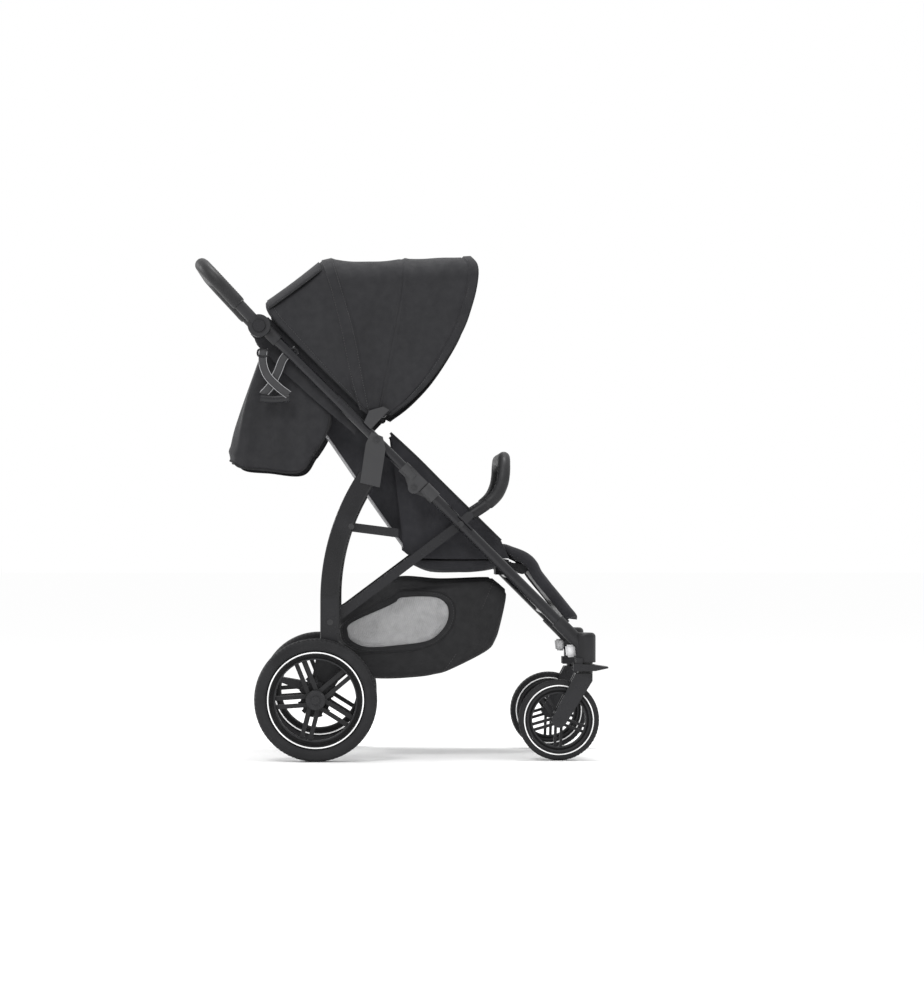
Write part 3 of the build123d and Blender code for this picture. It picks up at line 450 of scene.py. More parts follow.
def makeTyre(kind, side):
    settings = tyreSettings[kind]
    name = kind + "_tyre_" + side
    low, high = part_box(name)
    middle = (low + high) / 2
    profile = tyreProfile(settings)
    turns = settings["blocks"] * 4
    points = []
    for k in range(turns):
        angle = 2 * math.pi * k / turns
        for r, across in profile:
            tread = max(0.0, (r - settings["seat"]) / (settings["radius"] - settings["seat"]) - 0.72) / 0.28
            edge = abs(across) / (settings["width"] / 2)
            cut = 1.0 if (k % 4 in (1, 2)) and 0.35 < edge < 0.95 else 0.0
            groove = 1.0 if abs(edge - 0.3) < 0.07 else 0.0
            dip = 0.0013 * min(1, tread * 2) * max(cut, groove)
            radius = r - dip
            points.append((middle.x + radius * math.cos(angle), middle.y + across,
                           middle.z + radius * math.sin(angle)))
    faces = gridFaces(turns, len(profile), wrapRows=True, wrapColumns=True)
    tyre = meshPiece(kind + "Tyre" + side.title(), points, faces, "tyre",
                     kind + "_wheel_" + side)
    tyre.data.materials.append(finish["whiteRing"])
    ringLow, ringHigh = settings["ring"]
    for face in tyre.data.polygons:
        away = math.hypot(face.center.x - middle.x, face.center.z - middle.z)
        onWall = abs(face.center.y - middle.y) > settings["width"] * 0.4
        if ringLow < away < ringHigh and onWall:
            face.material_index = 1
    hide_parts(name)


for kind in tyreSettings:
    for side in ("right", "left"):
        makeTyre(kind, side)
print("tyres made")


# hood: four stations from the rear hem to the front hem, each a line in the side view from foot to top
hoodSettings = {
    "rearHem": [(-0.0545, 0.7235), (-0.157, 0.822), (-0.259, 0.924), (-0.282, 0.953), (-0.286, 0.972)],
    "bandRear": [(-0.0873, 0.745), (-0.109, 0.820), (-0.1265, 0.9063), (-0.148, 0.9928), (-0.169, 1.060)],
    "bandFront": [(-0.066, 0.740), (-0.0808, 0.820), (-0.097, 0.9063), (-0.1217, 0.9928), (-0.1445, 1.066)],
    "middleSeam": [(-0.0464, 0.742), (-0.0274, 0.8459), (-0.0078, 0.949), (0.0005, 1.0), (0.0035, 1.0665)],
    "frontHem": [(-0.022, 0.733), (0.0247, 0.7685), (0.076, 0.8244), (0.1279, 0.9063), (0.1494, 0.9622),
                 (0.1615, 1.012), (0.1625, 1.049), (0.1485, 1.0705)],
    "half": 0.2345,
    "corner": 0.05,
    "sag": 0.0065,
    "sideSag": 0.006,
    "bandLift": 0.0028,
    "hem": 0.0022,
    "hemStart": 3.88,
    "seamDip": 0.0016,
    "seamRise": 0.0016,
    "seamGroove": 0.002,
    "hemGroove": 0.0014,
    "crease": 0.0009,
    "pleat": 0.0018,
    "rollRadius": 0.0026,
    "rearRollRadius": 0.0024,
    "cloth": 0.0022,
}
hoodStations = [smoothLine(hoodSettings[key], 80)
                for key in ("rearHem", "bandRear", "bandFront", "middleSeam", "frontHem")]


# a spot on the hood: which station, how far up its line, and how far across
def hoodPoint(station, share, across):
    k = min(int(station), len(hoodStations) - 2)
    part = station - k
    line = hoodStations[k] * (1 - part) + hoodStations[k + 1] * part
    index = np.clip(share, 0, 1) * (len(line) - 1)
    low = min(int(index), len(line) - 2)
    x, z = line[low] + (line[low + 1] - line[low]) * (index - low)
    return np.array([x, across, z])


def hoodRow(station):
    k = min(int(station), len(hoodStations) - 2)
    part = station - k
    line = hoodStations[k] * (1 - part) + hoodStations[k + 1] * part
    tall = lineLength(line)
    corner, half = hoodSettings["corner"], hoodSettings["half"]
    row = []
    for share in np.linspace(0, 1 - corner / tall, 34)[:-1]:
        row.append(hoodPoint(station, share, -half))
    for turn in np.linspace(0, math.pi / 2, 11):
        reach = 1 - corner / tall + corner / tall * math.sin(turn)
        row.append(hoodPoint(station, reach, -half + corner - corner * math.cos(turn)))
    for across in np.linspace(-half + corner, 0, 14)[1:]:
        row.append(hoodPoint(station, 1, across))
    return np.array(row + [point * (1, -1, 1) for point in reversed(row[:-1])])


def bell(value, middle, width):
    return np.exp(-((value - middle) / width) ** 2)


def hoodGrid(start, end, count):
    stations = np.linspace(start, end, count)
    grid = np.array([hoodRow(s) for s in stations])
    normals = gridNormals(grid)
    if normals[:, grid.shape[1] // 2, 2].mean() < 0:
        normals = -normals
    lift = np.zeros(grid.shape[:2])
    columns = grid.shape[1]
    away = np.abs(np.linspace(-1, 1, columns))[None, :]
    foot = np.clip((1 - away) * 7, 0, 1)
    for i, s in enumerate(stations):
        stretch = 0.0
        if s < 1:
            stretch = math.sin(math.pi * s) * 0.55
        elif 2 < s < 3:
            stretch = math.sin(math.pi * (s - 2))
        elif s > 3:
            stretch = math.sin(math.pi * min(1, (s - 3) / 0.9)) * 0.15
        lift[i] -= stretch * hoodSettings["sag"] * foot[0]
        if 0.98 <= s <= 2.02:
            lift[i] += hoodSettings["bandLift"] * min(1, (s - 0.98) * 14, (2.02 - s) * 14) * foot[0]
        lift[i] -= hoodSettings["seamDip"] * (bell(s, 1.04, 0.035) + bell(s, 1.93, 0.035)) * foot[0]
        lift[i] += hoodSettings["seamRise"] * bell(s, 3.045, 0.03)
        lift[i] -= hoodSettings["seamGroove"] * bell(s, 3.0, 0.018)
        if s > hoodSettings["hemStart"]:
            lift[i] += hoodSettings["hem"] * min(1, (s - hoodSettings["hemStart"]) * 40)
        lift[i] -= hoodSettings["hemGroove"] * bell(s, hoodSettings["hemStart"] - 0.005, 0.012)
        if s < 0.07:
            lift[i] += hoodSettings["hem"] * 0.8
    crease = np.sin(grid[:, :, 0] * 61 + grid[:, :, 2] * 23) * np.sin(grid[:, :, 2] * 47 - grid[:, :, 0] * 19)
    lift = lift + hoodSettings["crease"] * crease * foot
    pleats = np.sin(np.linspace(start, end, count) * 9)[:, None] * np.clip((away - 0.78) * 4, 0, 1)
    lift = lift + hoodSettings["pleat"] * pleats * foot
    return grid + normals * lift[:, :, None]


def hoodPanel(name, start, end, count, cadNode, body):
    grid = hoodGrid(start, end, count)
    rows, columns = grid.shape[:2]
    piece = meshPiece(name, grid.reshape(-1, 3), gridFaces(rows, columns), "hood")
    thicken(piece, hoodSettings["cloth"])
    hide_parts(cadNode)
    if body:
        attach(piece, body)
    return piece


hoodPanel("hoodRearPanel", 0.0, 2.02, 60, "canopy_rear_panel", "upper_frame")
hoodMiddle = hoodPanel("hoodMiddlePanel", 1.97, 3.02, 34, "canopy_middle_panel", None)
hoodFront = hoodPanel("hoodFrontPanel", 3.0, 4.0, 56, "canopy_front_panel", None)
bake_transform(hoodMiddle)
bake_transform(hoodFront)


flapSettings = {"start": 0.03, "end": 0.97, "columns": 44, "lift": 0.0035, "edgeLift": 0.001, "sag": 0.006,
                "cloth": 0.002, "edgeRadius": 0.0009}


# the roll-up flap over the rear top, with a dark slit of painted shade under its side edges
def hoodFlap():
    s = flapSettings
    stations = np.linspace(s["start"], s["end"], 30)
    half = s["columns"]
    rows = []
    for station in stations:
        row = hoodRow(station)
        middle = len(row) // 2
        rows.append(row[middle - half // 2 + 3:middle + half // 2 - 2])
    grid = np.array(rows)
    normals = gridNormals(grid)
    if normals[:, grid.shape[1] // 2, 2].mean() < 0:
        normals = -normals
    edge = np.abs(np.linspace(-1, 1, grid.shape[1]))[None, :]
    lift = (s["lift"] + s["edgeLift"] * np.clip((edge - 0.8) * 5, 0, 1)
            - s["sag"] * np.sin(math.pi * stations)[:, None] * (1 - edge))
    grid = grid + normals * lift[:, :, None]
    flap = meshPiece("hoodRearFlap", grid.reshape(-1, 3), gridFaces(*grid.shape[:2]), "hood",
                     "upper_frame")
    thicken(flap, s["cloth"])
    # painted shade: a thin tube of darker binding cloth along each side edge draws the dark slit
    for side in (0, -1):
        line = grid[:, side] + normals[:, side] * 0.0004
        tubePiece("hoodFlapEdge" + ("Right" if side == 0 else "Left"), line, s["edgeRadius"], "binding",
                  "upper_frame", 8)


hoodFlap()


def hoodLine(station, lift):
    row = hoodRow(station)
    grid = np.array([hoodRow(station - 0.02), row, hoodRow(min(4, station + 0.02))])
    normals = gridNormals(grid)[1]
    if normals[len(row) // 2, 2] < 0:
        normals = -normals
    return row + normals * lift


for name, station, lift in (("hoodBandRearStitches", 1.09, 0.0042), ("hoodBandFrontStitches", 1.89, 0.0042)):
    stitchRow(name, hoodLine(station, lift), "upper_frame")
stitchRow("hoodRearHemStitches", hoodLine(0.1, 0.0011), "upper_frame")
hemStitches = stitchRow("hoodFrontHemStitches", hoodLine(3.9, 0.0024), None)
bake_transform(hemStitches)
hemRoll = tubePiece("hoodFrontRoll", hoodLine(3.995, 0.0), hoodSettings["rollRadius"], "binding",
                    None, 10)
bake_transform(hemRoll)
tubePiece("hoodRearRoll", hoodLine(0.005, 0.0), hoodSettings["rearRollRadius"], "binding", "upper_frame",
          10)

# a skirt of hood cloth closes the side between the hood, the tubes and the curtain
skirtSettings = {
    "start": 0.596, "end": 0.905,
    "high": [0.034, 0.028, 0.026, 0.022], "low": [-0.024, -0.032, -0.038, -0.030],
    "half": 0.2175, "fold": 0.0012, "cloth": 0.0016,
}


def onFrame(along, off, across):
    slope = math.sqrt(0.5)
    return (0.342 + (off - along) * slope, across, 0.286 + (along + off) * slope)


for side, word in ((-1, "Right"), (1, "Left")):
    grid = []
    for share in np.linspace(0, 1, 60):
        along = skirtSettings["start"] + (skirtSettings["end"] - skirtSettings["start"]) * share
        high = np.interp(share, np.linspace(0, 1, 4), skirtSettings["high"])
        low = np.interp(share, np.linspace(0, 1, 4), skirtSettings["low"])
        row = []
        for part in np.linspace(0, 1, 16):
            wave = skirtSettings["fold"] * math.sin(share * 31 + part * 3) * math.sin(math.pi * part)
            row.append(onFrame(along, high + (low - high) * part, side * (skirtSettings["half"] - wave)))
        grid.append(row)
    grid = np.array(grid)
    skirt = meshPiece("hoodSkirt" + word, grid.reshape(-1, 3), gridFaces(*grid.shape[:2]), "hood",
                      "upper_frame")
    thicken(skirt, skirtSettings["cloth"])
print("hood made")


# curtain: loose cloth that hangs behind the seat from the hood's rear hem and the upper tubes
curtainSettings = {
    "top": [(-0.151, -1, 0.738), (-0.20, -1, 0.787), (-0.25, -1, 0.838), (-0.283, -1, 0.872),
            (-0.291, -0.82, 0.893), (-0.292, 0.0, 0.897)],
    "middle": [(-0.156, -1, 0.700), (-0.21, -1, 0.735), (-0.262, -1, 0.758), (-0.318, -1, 0.768),
               (-0.330, -0.84, 0.768), (-0.332, 0.0, 0.768)],
    "bottom": [(-0.184, -1, 0.652), (-0.216, -1, 0.6125), (-0.290, -1, 0.617), (-0.342, -1, 0.622),
               (-0.362, -0.84, 0.636), (-0.364, 0.0, 0.634)],
    "half": 0.2095,
    "fold": 0.0085,
    "cloth": 0.0018,
    "hemRadius": 0.0022,
    "sideRadius": 0.0028,
    "foldedShare": 0.3,
}


def curtainGrid():
    half = curtainSettings["half"]
    lines = []
    for key in ("top", "middle", "bottom"):
        right = [(x, y * half, z) for x, y, z in curtainSettings[key]]
        whole = right + [(x, -y, z) for x, y, z in reversed(right[:-1])]
        lines.append(smoothLine(whole, 161))
    rows = []
    for t in np.linspace(0, 1, 46):
        top, middle, bottom = lines
        rows.append(top * (1 - t) * (1 - 2 * t) + middle * 4 * t * (1 - t) + bottom * t * (2 * t - 1))
    grid = np.array(rows)
    normals = gridNormals(grid)
    centre = grid.mean(axis=(0, 1))
    if ((grid - centre) * normals).sum() < 0:
        normals = -normals
    along = np.linspace(0, 1, grid.shape[1])[None, :]
    down = np.linspace(0, 1, grid.shape[0])[:, None]
    wave = (np.sin(along * 47 + down * 1.4) * 0.6 + np.sin(along * 29 - down * 2.2 + 1.3)
            + 0.5 * np.sin(along * 83 + down * 3))
    slack = np.clip(down * 1.3, 0.05, 1) * (1 - 0.5 * bell(down, 1.0, 0.08))
    lift = curtainSettings["fold"] * wave * slack * 0.6
    lift = lift + 0.004 * bell(down, 0.93, 0.03) - 0.003
    return grid + normals * lift[:, :, None]


curtainCloth = curtainGrid()
curtain = meshPiece("backCurtain", curtainCloth.reshape(-1, 3), gridFaces(*curtainCloth.shape[:2]), "hood")
thicken(curtain, curtainSettings["cloth"])
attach(curtain, "upper_frame")
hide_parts("back_curtain")
curtainParts = [curtain]
curtainEdges = [("BottomHem", curtainCloth[-1], "hemRadius"), ("TopHem", curtainCloth[0], "hemRadius"),
                ("RightHem", curtainCloth[:, 0], "sideRadius"),
                ("LeftHem", curtainCloth[:, -1], "sideRadius")]
for word, line, size in curtainEdges:
    curtainParts.append(tubePiece("curtain" + word, line, curtainSettings[size], "binding", "upper_frame",
                                  8))
curtainParts.append(stitchRow("curtainHemStitches", curtainCloth[-4], "upper_frame"))
for part in curtainParts:  # each curtain piece gets a mesh of its own
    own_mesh(part)
print("curtain made")


# basket: a cloth shell hung below the seat, with a net window in each side
basketSettings = {
    "outline": [(-0.004, 0.383), (0.09, 0.379), (0.185, 0.382), (0.199, 0.379), (0.222, 0.360),
                (0.2255, 0.343), (0.214, 0.288), (0.203, 0.254), (0.183, 0.229), (0.107, 0.190),
                (0.074, 0.180), (0.034, 0.175), (-0.06, 0.172), (-0.085, 0.190), (-0.118, 0.230),
                (-0.138, 0.268), (-0.146, 0.302), (-0.132, 0.318), (-0.07, 0.350)],
    "window": [(-0.116, 0.288), (-0.062, 0.317), (-0.0129, 0.3418), (-0.001, 0.351), (0.0445, 0.353),
               (0.086, 0.3478), (0.107, 0.330), (0.110, 0.301), (0.096, 0.272), (0.065, 0.2475),
               (0.004, 0.2351), (-0.075, 0.2332), (-0.112, 0.249), (-0.121, 0.268)],
    "binding": [(-0.0075, 0.0006), (-0.0062, 0.0024), (0, 0.0032), (0.0068, 0.0024), (0.008, 0.0)],
    "half": 0.1485,
    "corner": 0.016,
    "bulge": 0.007,
    "points": 168,
    "cloth": 0.002,
}


def closedLine(points, count):
    points = np.array(points, float)
    turns = len(points)
    fine = []
    for k in range(turns):
        p0, p1, p2, p3 = (points[(k + d) % turns] for d in (-1, 0, 1, 2))
        for t in np.linspace(0, 1, 14, endpoint=False):
            fine.append(0.5 * (2 * p1 + (p2 - p0) * t + (2 * p0 - 5 * p1 + 4 * p2 - p3) * t * t
                               + (3 * p1 - p0 - 3 * p2 + p3) * t ** 3))
    return evenly(np.array(fine), count, closed=True)


# where a closed line is met at even angles around a middle point
def byAngle(line, middle, count, start):
    angles = np.unwrap(np.arctan2(line[:, 1] - middle[1], line[:, 0] - middle[0]))
    if angles[-1] < angles[0]:
        line, angles = line[::-1], angles[::-1]
    angles = np.unwrap(angles)
    wanted = start + np.linspace(0, 2 * math.pi, count, endpoint=False)
    turns = 2 * math.pi * np.arange(-2, 3)
    base = np.concatenate([angles + turn for turn in turns])
    tiled = np.vstack([line] * len(turns))
    order = np.argsort(base)
    return np.stack([np.interp(wanted, base[order], tiled[order, k]) for k in (0, 1)], 1)


def basketPieces():
    s = basketSettings
    count = s["points"]
    window = closedLine(s["window"], count * 3)
    outline = closedLine(s["outline"], count * 3)
    middle = window.mean(axis=0)
    rim = byAngle(window, middle, count, 0)
    edge = byAngle(outline, middle, count, 0)
    rings = 16
    for side in (-1, 1):
        grid = []
        for t in np.linspace(0, 1, rings):
            flat = rim * (1 - t) + (middle + (edge - middle) * (1 - s["corner"] * 0.9
                                   / np.linalg.norm(edge - middle, axis=1, keepdims=True))) * t
            puff = s["bulge"] * math.sin(math.pi * (0.5 + t * 0.5))
            turns = np.arange(count) * 2 * math.pi * 7 / count
            ripple = 0.0012 * np.sin(turns + t * 5) * math.sin(math.pi * t)
            grid.append(np.stack([flat[:, 0], side * (s["half"] - 0.001 + puff + ripple), flat[:, 1]], 1))
        grid = np.array(grid)
        for turn in np.linspace(0.25, 1, 4):
            shrink = s["corner"] * (1 - math.sin(turn * math.pi / 2)) * 0.9
            reach = np.linalg.norm(edge - middle, axis=1, keepdims=True)
            flat = middle + (edge - middle) * (1 - shrink / reach)
            inward = s["corner"] * (1 - math.cos(turn * math.pi / 2))
            ring = np.stack([flat[:, 0], np.full(count, side * (s["half"] - 0.001 - inward)), flat[:, 1]], 1)
            grid = np.concatenate([grid, ring[None]])
        word = "Right" if side < 0 else "Left"
        panel = meshPiece("basketSide" + word, grid.reshape(-1, 3),
                          gridFaces(len(grid), count, wrapColumns=True), "basket", "chassis")
        thicken(panel, s["cloth"])
        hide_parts("basket")
        netRings = []
        for t in np.linspace(0.03, 1.03, 14):
            flat = middle + (rim - middle) * t
            puff = s["bulge"] + 0.004 * (1 - min(1, t) ** 2)
            away = np.full(count, side * (s["half"] - 0.002 + puff))
            netRings.append(np.stack([flat[:, 0], away, flat[:, 1]], 1))
        netRings = np.array(netRings)
        faces = gridFaces(len(netRings), count, wrapColumns=True) + [tuple(range(count))]
        meshPiece("basketNet" + word, netRings.reshape(-1, 3), faces, "net", "chassis")
        binding = []
        for k in range(count):
            outward = (rim[k] - middle) / np.linalg.norm(rim[k] - middle)
            for across, lift in s["binding"]:
                flat = rim[k] + outward * across
                binding.append((flat[0], side * (s["half"] - 0.001 + s["bulge"] + lift), flat[1]))
        ring = meshPiece("basketWindowBinding" + word, binding, gridFaces(count, 5, wrapRows=True), "binding",
                         "chassis")
        thicken(ring, 0.0012)
        stitches = [(rim[k % count][0] * 1.0 + (rim[k % count] - middle)[0] * 0.025,
                     side * (s["half"] + s["bulge"] + 0.0022),
                     rim[k % count][1] + (rim[k % count] - middle)[1] * 0.025) for k in range(count + 1)]
        stitchRow("basketWindowStitches" + word, stitches, "chassis")


basketPieces()


def basketWall():
    s = basketSettings
    outline = np.array(s["outline"])
    run = smoothLine([tuple(p) for p in outline[4:16]], 90)
    half = s["half"] - s["corner"]
    grid = []
    for across in np.linspace(-half, half, 40):
        belly = 0.006 * math.cos(across / half * math.pi / 2)
        row = []
        for k, (x, z) in enumerate(run):
            low = max(0.0, (0.30 - z) / 0.13)
            ripple = 0.0014 * math.sin(across * 60 + x * 25)
            row.append((x, across, z + (belly * 0.35 + ripple) * min(1, low)))
        grid.append(row)
    grid = np.array(grid)
    wall = meshPiece("basketWall", grid.reshape(-1, 3), gridFaces(*grid.shape[:2]), "basket", "chassis")
    thicken(wall, s["cloth"])
    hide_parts("basket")
    for word, row in (("Front", 0), ("Rear", -1)):
        tubePiece("basketHem" + word, grid[:, row], 0.003, "binding", "chassis", 8)


basketWall()
basketTop = smoothLine([(-0.146, 0.302), (-0.132, 0.318), (-0.07, 0.350), (-0.004, 0.383), (0.09, 0.379),
                        (0.185, 0.382), (0.199, 0.379), (0.222, 0.360)], 60)
for side, word in ((-1, "Right"), (1, "Left")):
    rail = [(x, side * (basketSettings["half"] - 0.0135), z) for x, z in basketTop]
    tubePiece("basketRim" + word, rail, 0.0032, "binding", "chassis", 8)
    seam = smoothLine([(0.199, side * 0.1508, 0.379), (0.165, side * 0.1508, 0.30),
                       (0.120, side * 0.1508, 0.225), (0.095, side * 0.149, 0.189)], 40)
    stitchRow("basketSeamStitches" + word, seam, "chassis")
print("basket made")


# padded pieces: a closed form swelled by a short cloth run, then sewn channels pressed in
def padMesh(name, width, length, thickness, corner, material):
    nx, ny = 34, max(20, int(34 * length / width))
    grid = bmesh.new()
    top, bottom = {}, {}
    for i in range(nx + 1):
        for j in range(ny + 1):
            u, v = 2 * i / nx - 1, 2 * j / ny - 1
            x, y = u * width / 2, v * length / 2
            over = Vector((max(0, abs(x) - (width / 2 - corner)), max(0, abs(y) - (length / 2 - corner))))
            if over.length > corner:
                over = over.normalized() * corner
                x = math.copysign(width / 2 - corner + over.x, x) if abs(x) > width / 2 - corner else x
                y = math.copysign(length / 2 - corner + over.y, y) if abs(y) > length / 2 - corner else y
            rise = (1 - abs(u) ** 6) * (1 - abs(v) ** 6)
            high = thickness * (0.5 + 0.5 * rise ** 0.5)
            top[i, j] = grid.verts.new((x, y, high))
            edgeVert = i in (0, nx) or j in (0, ny)
            low = thickness * 0.5 * (1 - rise ** 0.5)
            bottom[i, j] = top[i, j] if edgeVert else grid.verts.new((x, y, low))
    for i in range(nx):
        for j in range(ny):
            grid.faces.new((top[i, j], top[i + 1, j], top[i + 1, j + 1], top[i, j + 1]))
            low = [bottom[i, j + 1], bottom[i + 1, j + 1], bottom[i + 1, j], bottom[i, j]]
            if len(set(low) | {top[i, j], top[i + 1, j], top[i + 1, j + 1], top[i, j + 1]}) > 4:
                grid.faces.new(low)
    mesh = bpy.data.meshes.new(name)
    grid.to_mesh(mesh)
    grid.free()
    piece = bpy.data.objects.new(name, mesh)
    scene.collection.objects.link(piece)
    mesh.materials.append(finish[material])
    return piece


# a short cloth run with pressure inside, so the pad fills out between its edges
def swell(piece, cap, pressure=4.0, voxel=0.0055):
    remesh = piece.modifiers.new("evenFaces", "REMESH")
    remesh.mode = "VOXEL"
    remesh.voxel_size = voxel
    applyModifiers(piece)
    rest = np.array([v.co for v in piece.data.vertices])
    cloth = piece.modifiers.new("stuffing", "CLOTH")
    cloth.settings.quality = 4
    cloth.settings.use_pressure = True
    cloth.settings.uniform_pressure_force = pressure
    cloth.settings.effector_weights.gravity = 0
    cloth.point_cache.frame_start = 1
    cloth.point_cache.frame_end = 20
    for step in range(1, 21):
        scene.frame_set(step)
    graph = bpy.context.evaluated_depsgraph_get()
    swollen = piece.evaluated_get(graph).to_mesh()
    moved = np.array([v.co for v in swollen.vertices]) - rest
    piece.evaluated_get(graph).to_mesh_clear()
    piece.modifiers.clear()
    far = np.linalg.norm(moved, axis=1, keepdims=True)
    moved *= np.minimum(1, cap / np.maximum(far, 1e-9))
    piece.data.vertices.foreach_set("co", (rest + moved).ravel())
    scene.frame_set(1)
    most = float(np.linalg.norm(moved, axis=1).max())
    print("swelled", piece.name, "by up to", round(most * 1000, 1), "mm")


def finishPad(piece, channels, matrix, limits):
    smoothing = piece.modifiers.new("softFaces", "SUBSURF")
    smoothing.levels = 1
    smoothing.render_levels = 1
    applyModifiers(piece)
    co = np.array([v.co for v in piece.data.vertices])
    thickness = limits[2]
    upper = np.clip(co[:, 2] / thickness * 2 - 1, 0, 1)
    for axis, at, low, high, depth, width in channels:
        other = 1 - axis
        inside = np.clip((co[:, other] - low) * 60, 0, 1) * np.clip((high - co[:, other]) * 60, 0, 1)
        co[:, 2] -= depth * bell(co[:, axis], at, width) * inside * upper
    co[:, 0] = np.clip(co[:, 0], -limits[0] / 2, limits[0] / 2)
    co[:, 1] = np.clip(co[:, 1], -limits[1] / 2, limits[1] / 2)
    co[:, 2] = np.clip(co[:, 2], 0, thickness * 1.12)
    piece.data.vertices.foreach_set("co", co.ravel())
    piece.data.transform(matrix)
    piece.data.update()
    piece.data.polygons.foreach_set("use_smooth", [True] * len(piece.data.polygons))


def padLoop(name, width, length, corner, height, matrix, body, radius=0.0018, material="binding"):
    outline = []
    for sx, sy, start in ((1, 1, 0), (-1, 1, 90), (-1, -1, 180), (1, -1, 270)):
        for turn in np.linspace(0, 90, 8):
            angle = math.radians(start + turn)
            outline.append((sx * (width / 2 - corner) + corner * math.cos(angle),
                            sy * (length / 2 - corner) + corner * math.sin(angle), height))
    outline.append(outline[0])
    outline = [tuple(matrix @ Vector(p)) for p in outline]
    return tubePiece(name, evenly(outline, 160), radius, material, body, 8)


seatLow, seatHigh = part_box("seat_cushion")
seatSize = seatHigh - seatLow
seatPad = padMesh("seatCushion", seatSize.y * 0.965, seatSize.x * 0.955, seatSize.z * 0.86, 0.025, "seat")
swell(seatPad, 0.008)
seatMatrix = Matrix.Translation(((seatLow.x + seatHigh.x) / 2, 0, seatLow.z)) @ Matrix.Rotation(
    math.radians(-90), 4, "Z")
finishPad(seatPad, [(0, -0.055, -0.08, 0.08, 0.006, 0.006), (0, 0.055, -0.08, 0.08, 0.006, 0.006),
                    (1, 0.035, -0.11, 0.11, 0.004, 0.006)], seatMatrix, (seatSize.y, seatSize.x, seatSize.z))
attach(seatPad, "chassis")
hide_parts("seat_cushion")
padLoop("seatCushionPiping", seatSize.y * 0.97, seatSize.x * 0.97, 0.026, seatSize.z * 0.45,
        seatMatrix, "chassis")

backHinge = pivot("backrest_recline")
backAngle = math.radians(124.5)
backMatrix = Matrix(((0, math.cos(backAngle), math.sin(backAngle), backHinge.x),
                     (1, 0, 0, 0),
                     (0, math.sin(backAngle), -math.cos(backAngle), backHinge.z),
                     (0, 0, 0, 1)))
backSettings = {"start": 0.084, "length": 0.330, "width": 0.310, "board": 0.0056, "thickness": 0.026}
backMiddle = backSettings["start"] + backSettings["length"] / 2
backPadMatrix = backMatrix @ Matrix.Translation((0, backMiddle, backSettings["board"]))
backPad = padMesh("backCushion", backSettings["width"] * 0.965, backSettings["length"] * 0.97,
                  backSettings["thickness"] * 0.86, 0.035, "seat")
swell(backPad, 0.008)
finishPad(backPad, [(0, -0.052, -0.14, 0.14, 0.006, 0.006), (0, 0.052, -0.14, 0.14, 0.006, 0.006),
                    (1, 0.02, -0.12, 0.12, 0.005, 0.006), (1, -0.075, -0.12, 0.12, 0.005, 0.006)],
          backPadMatrix, (backSettings["width"], backSettings["length"], backSettings["thickness"]))
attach(backPad, "backrest")
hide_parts("back_cushion")
padLoop("backCushionPiping", backSettings["width"] * 0.97, backSettings["length"] * 0.98, 0.036,
        backSettings["thickness"] * 0.45, backPadMatrix, "backrest")

restHinge = pivot("leg_rest_tilt")
restAngle = math.radians(-52.5)
restMatrix = Matrix(((0, -math.cos(restAngle), math.sin(-restAngle), restHinge.x),
                     (1, 0, 0, 0),
                     (0, -math.sin(restAngle), math.cos(-restAngle), restHinge.z),
                     (0, 0, 0, 1)))
restSettings = {"width": 0.330, "length": 0.166, "thickness": 0.014, "hinge": 0.0126, "over": 0.008}
restMiddle = restSettings["over"] - restSettings["length"] / 2
restPadMatrix = restMatrix @ Matrix.Translation((0, restMiddle, restSettings["hinge"]))
restPad = padMesh("legRestPad", restSettings["width"] * 0.96, restSettings["length"] * 0.95,
                  restSettings["thickness"] * 0.9, 0.022, "seat")
swell(restPad, 0.006)
finishPad(restPad, [], restPadMatrix,
          (restSettings["width"], restSettings["length"], restSettings["thickness"] * 1.2))
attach(restPad, "leg_rest")
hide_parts("leg_rest_pad")
restCover = {"path": [(0.205, 0.4585), (0.225, 0.4565), (0.2395, 0.4515), (0.262, 0.443), (0.279, 0.4325),
                      (0.292, 0.418), (0.3037, 0.3970), (0.3362, 0.3570), (0.3612, 0.3250), (0.3755, 0.3065),
                      (0.3760, 0.2970)],
             "half": 0.168, "round": 0.013, "drop": 0.024, "cloth": 0.0022, "fold": 0.0009}


# a sheet that follows a line in the side view and rolls over at both edges
def coverSheet(settings, inward):
    line = smoothLine(settings["path"], 90)
    tangents = np.gradient(line, axis=0)
    tangents /= np.linalg.norm(tangents, axis=1, keepdims=True)
    normals = np.stack([-tangents[:, 1], tangents[:, 0]], 1)
    normals = normals * (1 if inward * normals[45, 1] < 0 else -1)
    rows = []
    for across in np.linspace(-settings["half"], settings["half"], 74):
        turn = np.clip((abs(across) - settings["half"] + settings["round"]) / settings["round"], 0, 1)
        fall = settings["drop"] * (1 - math.sqrt(1 - turn * turn))
        wave = settings["fold"] * np.sin(across * 70 + np.linspace(0, 9, 90)) * (1 - turn)
        ends = np.clip(np.linspace(0, 1, 90) * 5, 0, 1)
        flat = line + normals * (fall * ends + wave)[:, None]
        rows.append(np.stack([flat[:, 0], np.full(90, across), flat[:, 1]], 1))
    return np.array(rows)


coverGrid = coverSheet(restCover, 1)
cover = meshPiece("legRestCover", coverGrid.reshape(-1, 3), gridFaces(*coverGrid.shape[:2]), "seat")
thicken(cover, restCover["cloth"])
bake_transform(cover)

# sling of cloth under the seat
slingSettings = {"path": [(0.226, 0.4215), (0.205, 0.410), (0.17, 0.403), (0.11, 0.400),
                          (0.06, 0.403), (0.018, 0.421)],
                 "half": 0.180, "round": 0.02, "drop": 0.022, "cloth": 0.0018, "fold": 0.002}
slingGrid = coverSheet(slingSettings, -1)
slingGrid[:, :, 2] = np.minimum(slingGrid[:, :, 2], 0.4225)
sling = meshPiece("seatSling", slingGrid.reshape(-1, 3), gridFaces(*slingGrid.shape[:2]), "seat", "chassis")
thicken(sling, slingSettings["cloth"])
print("padded pieces made")


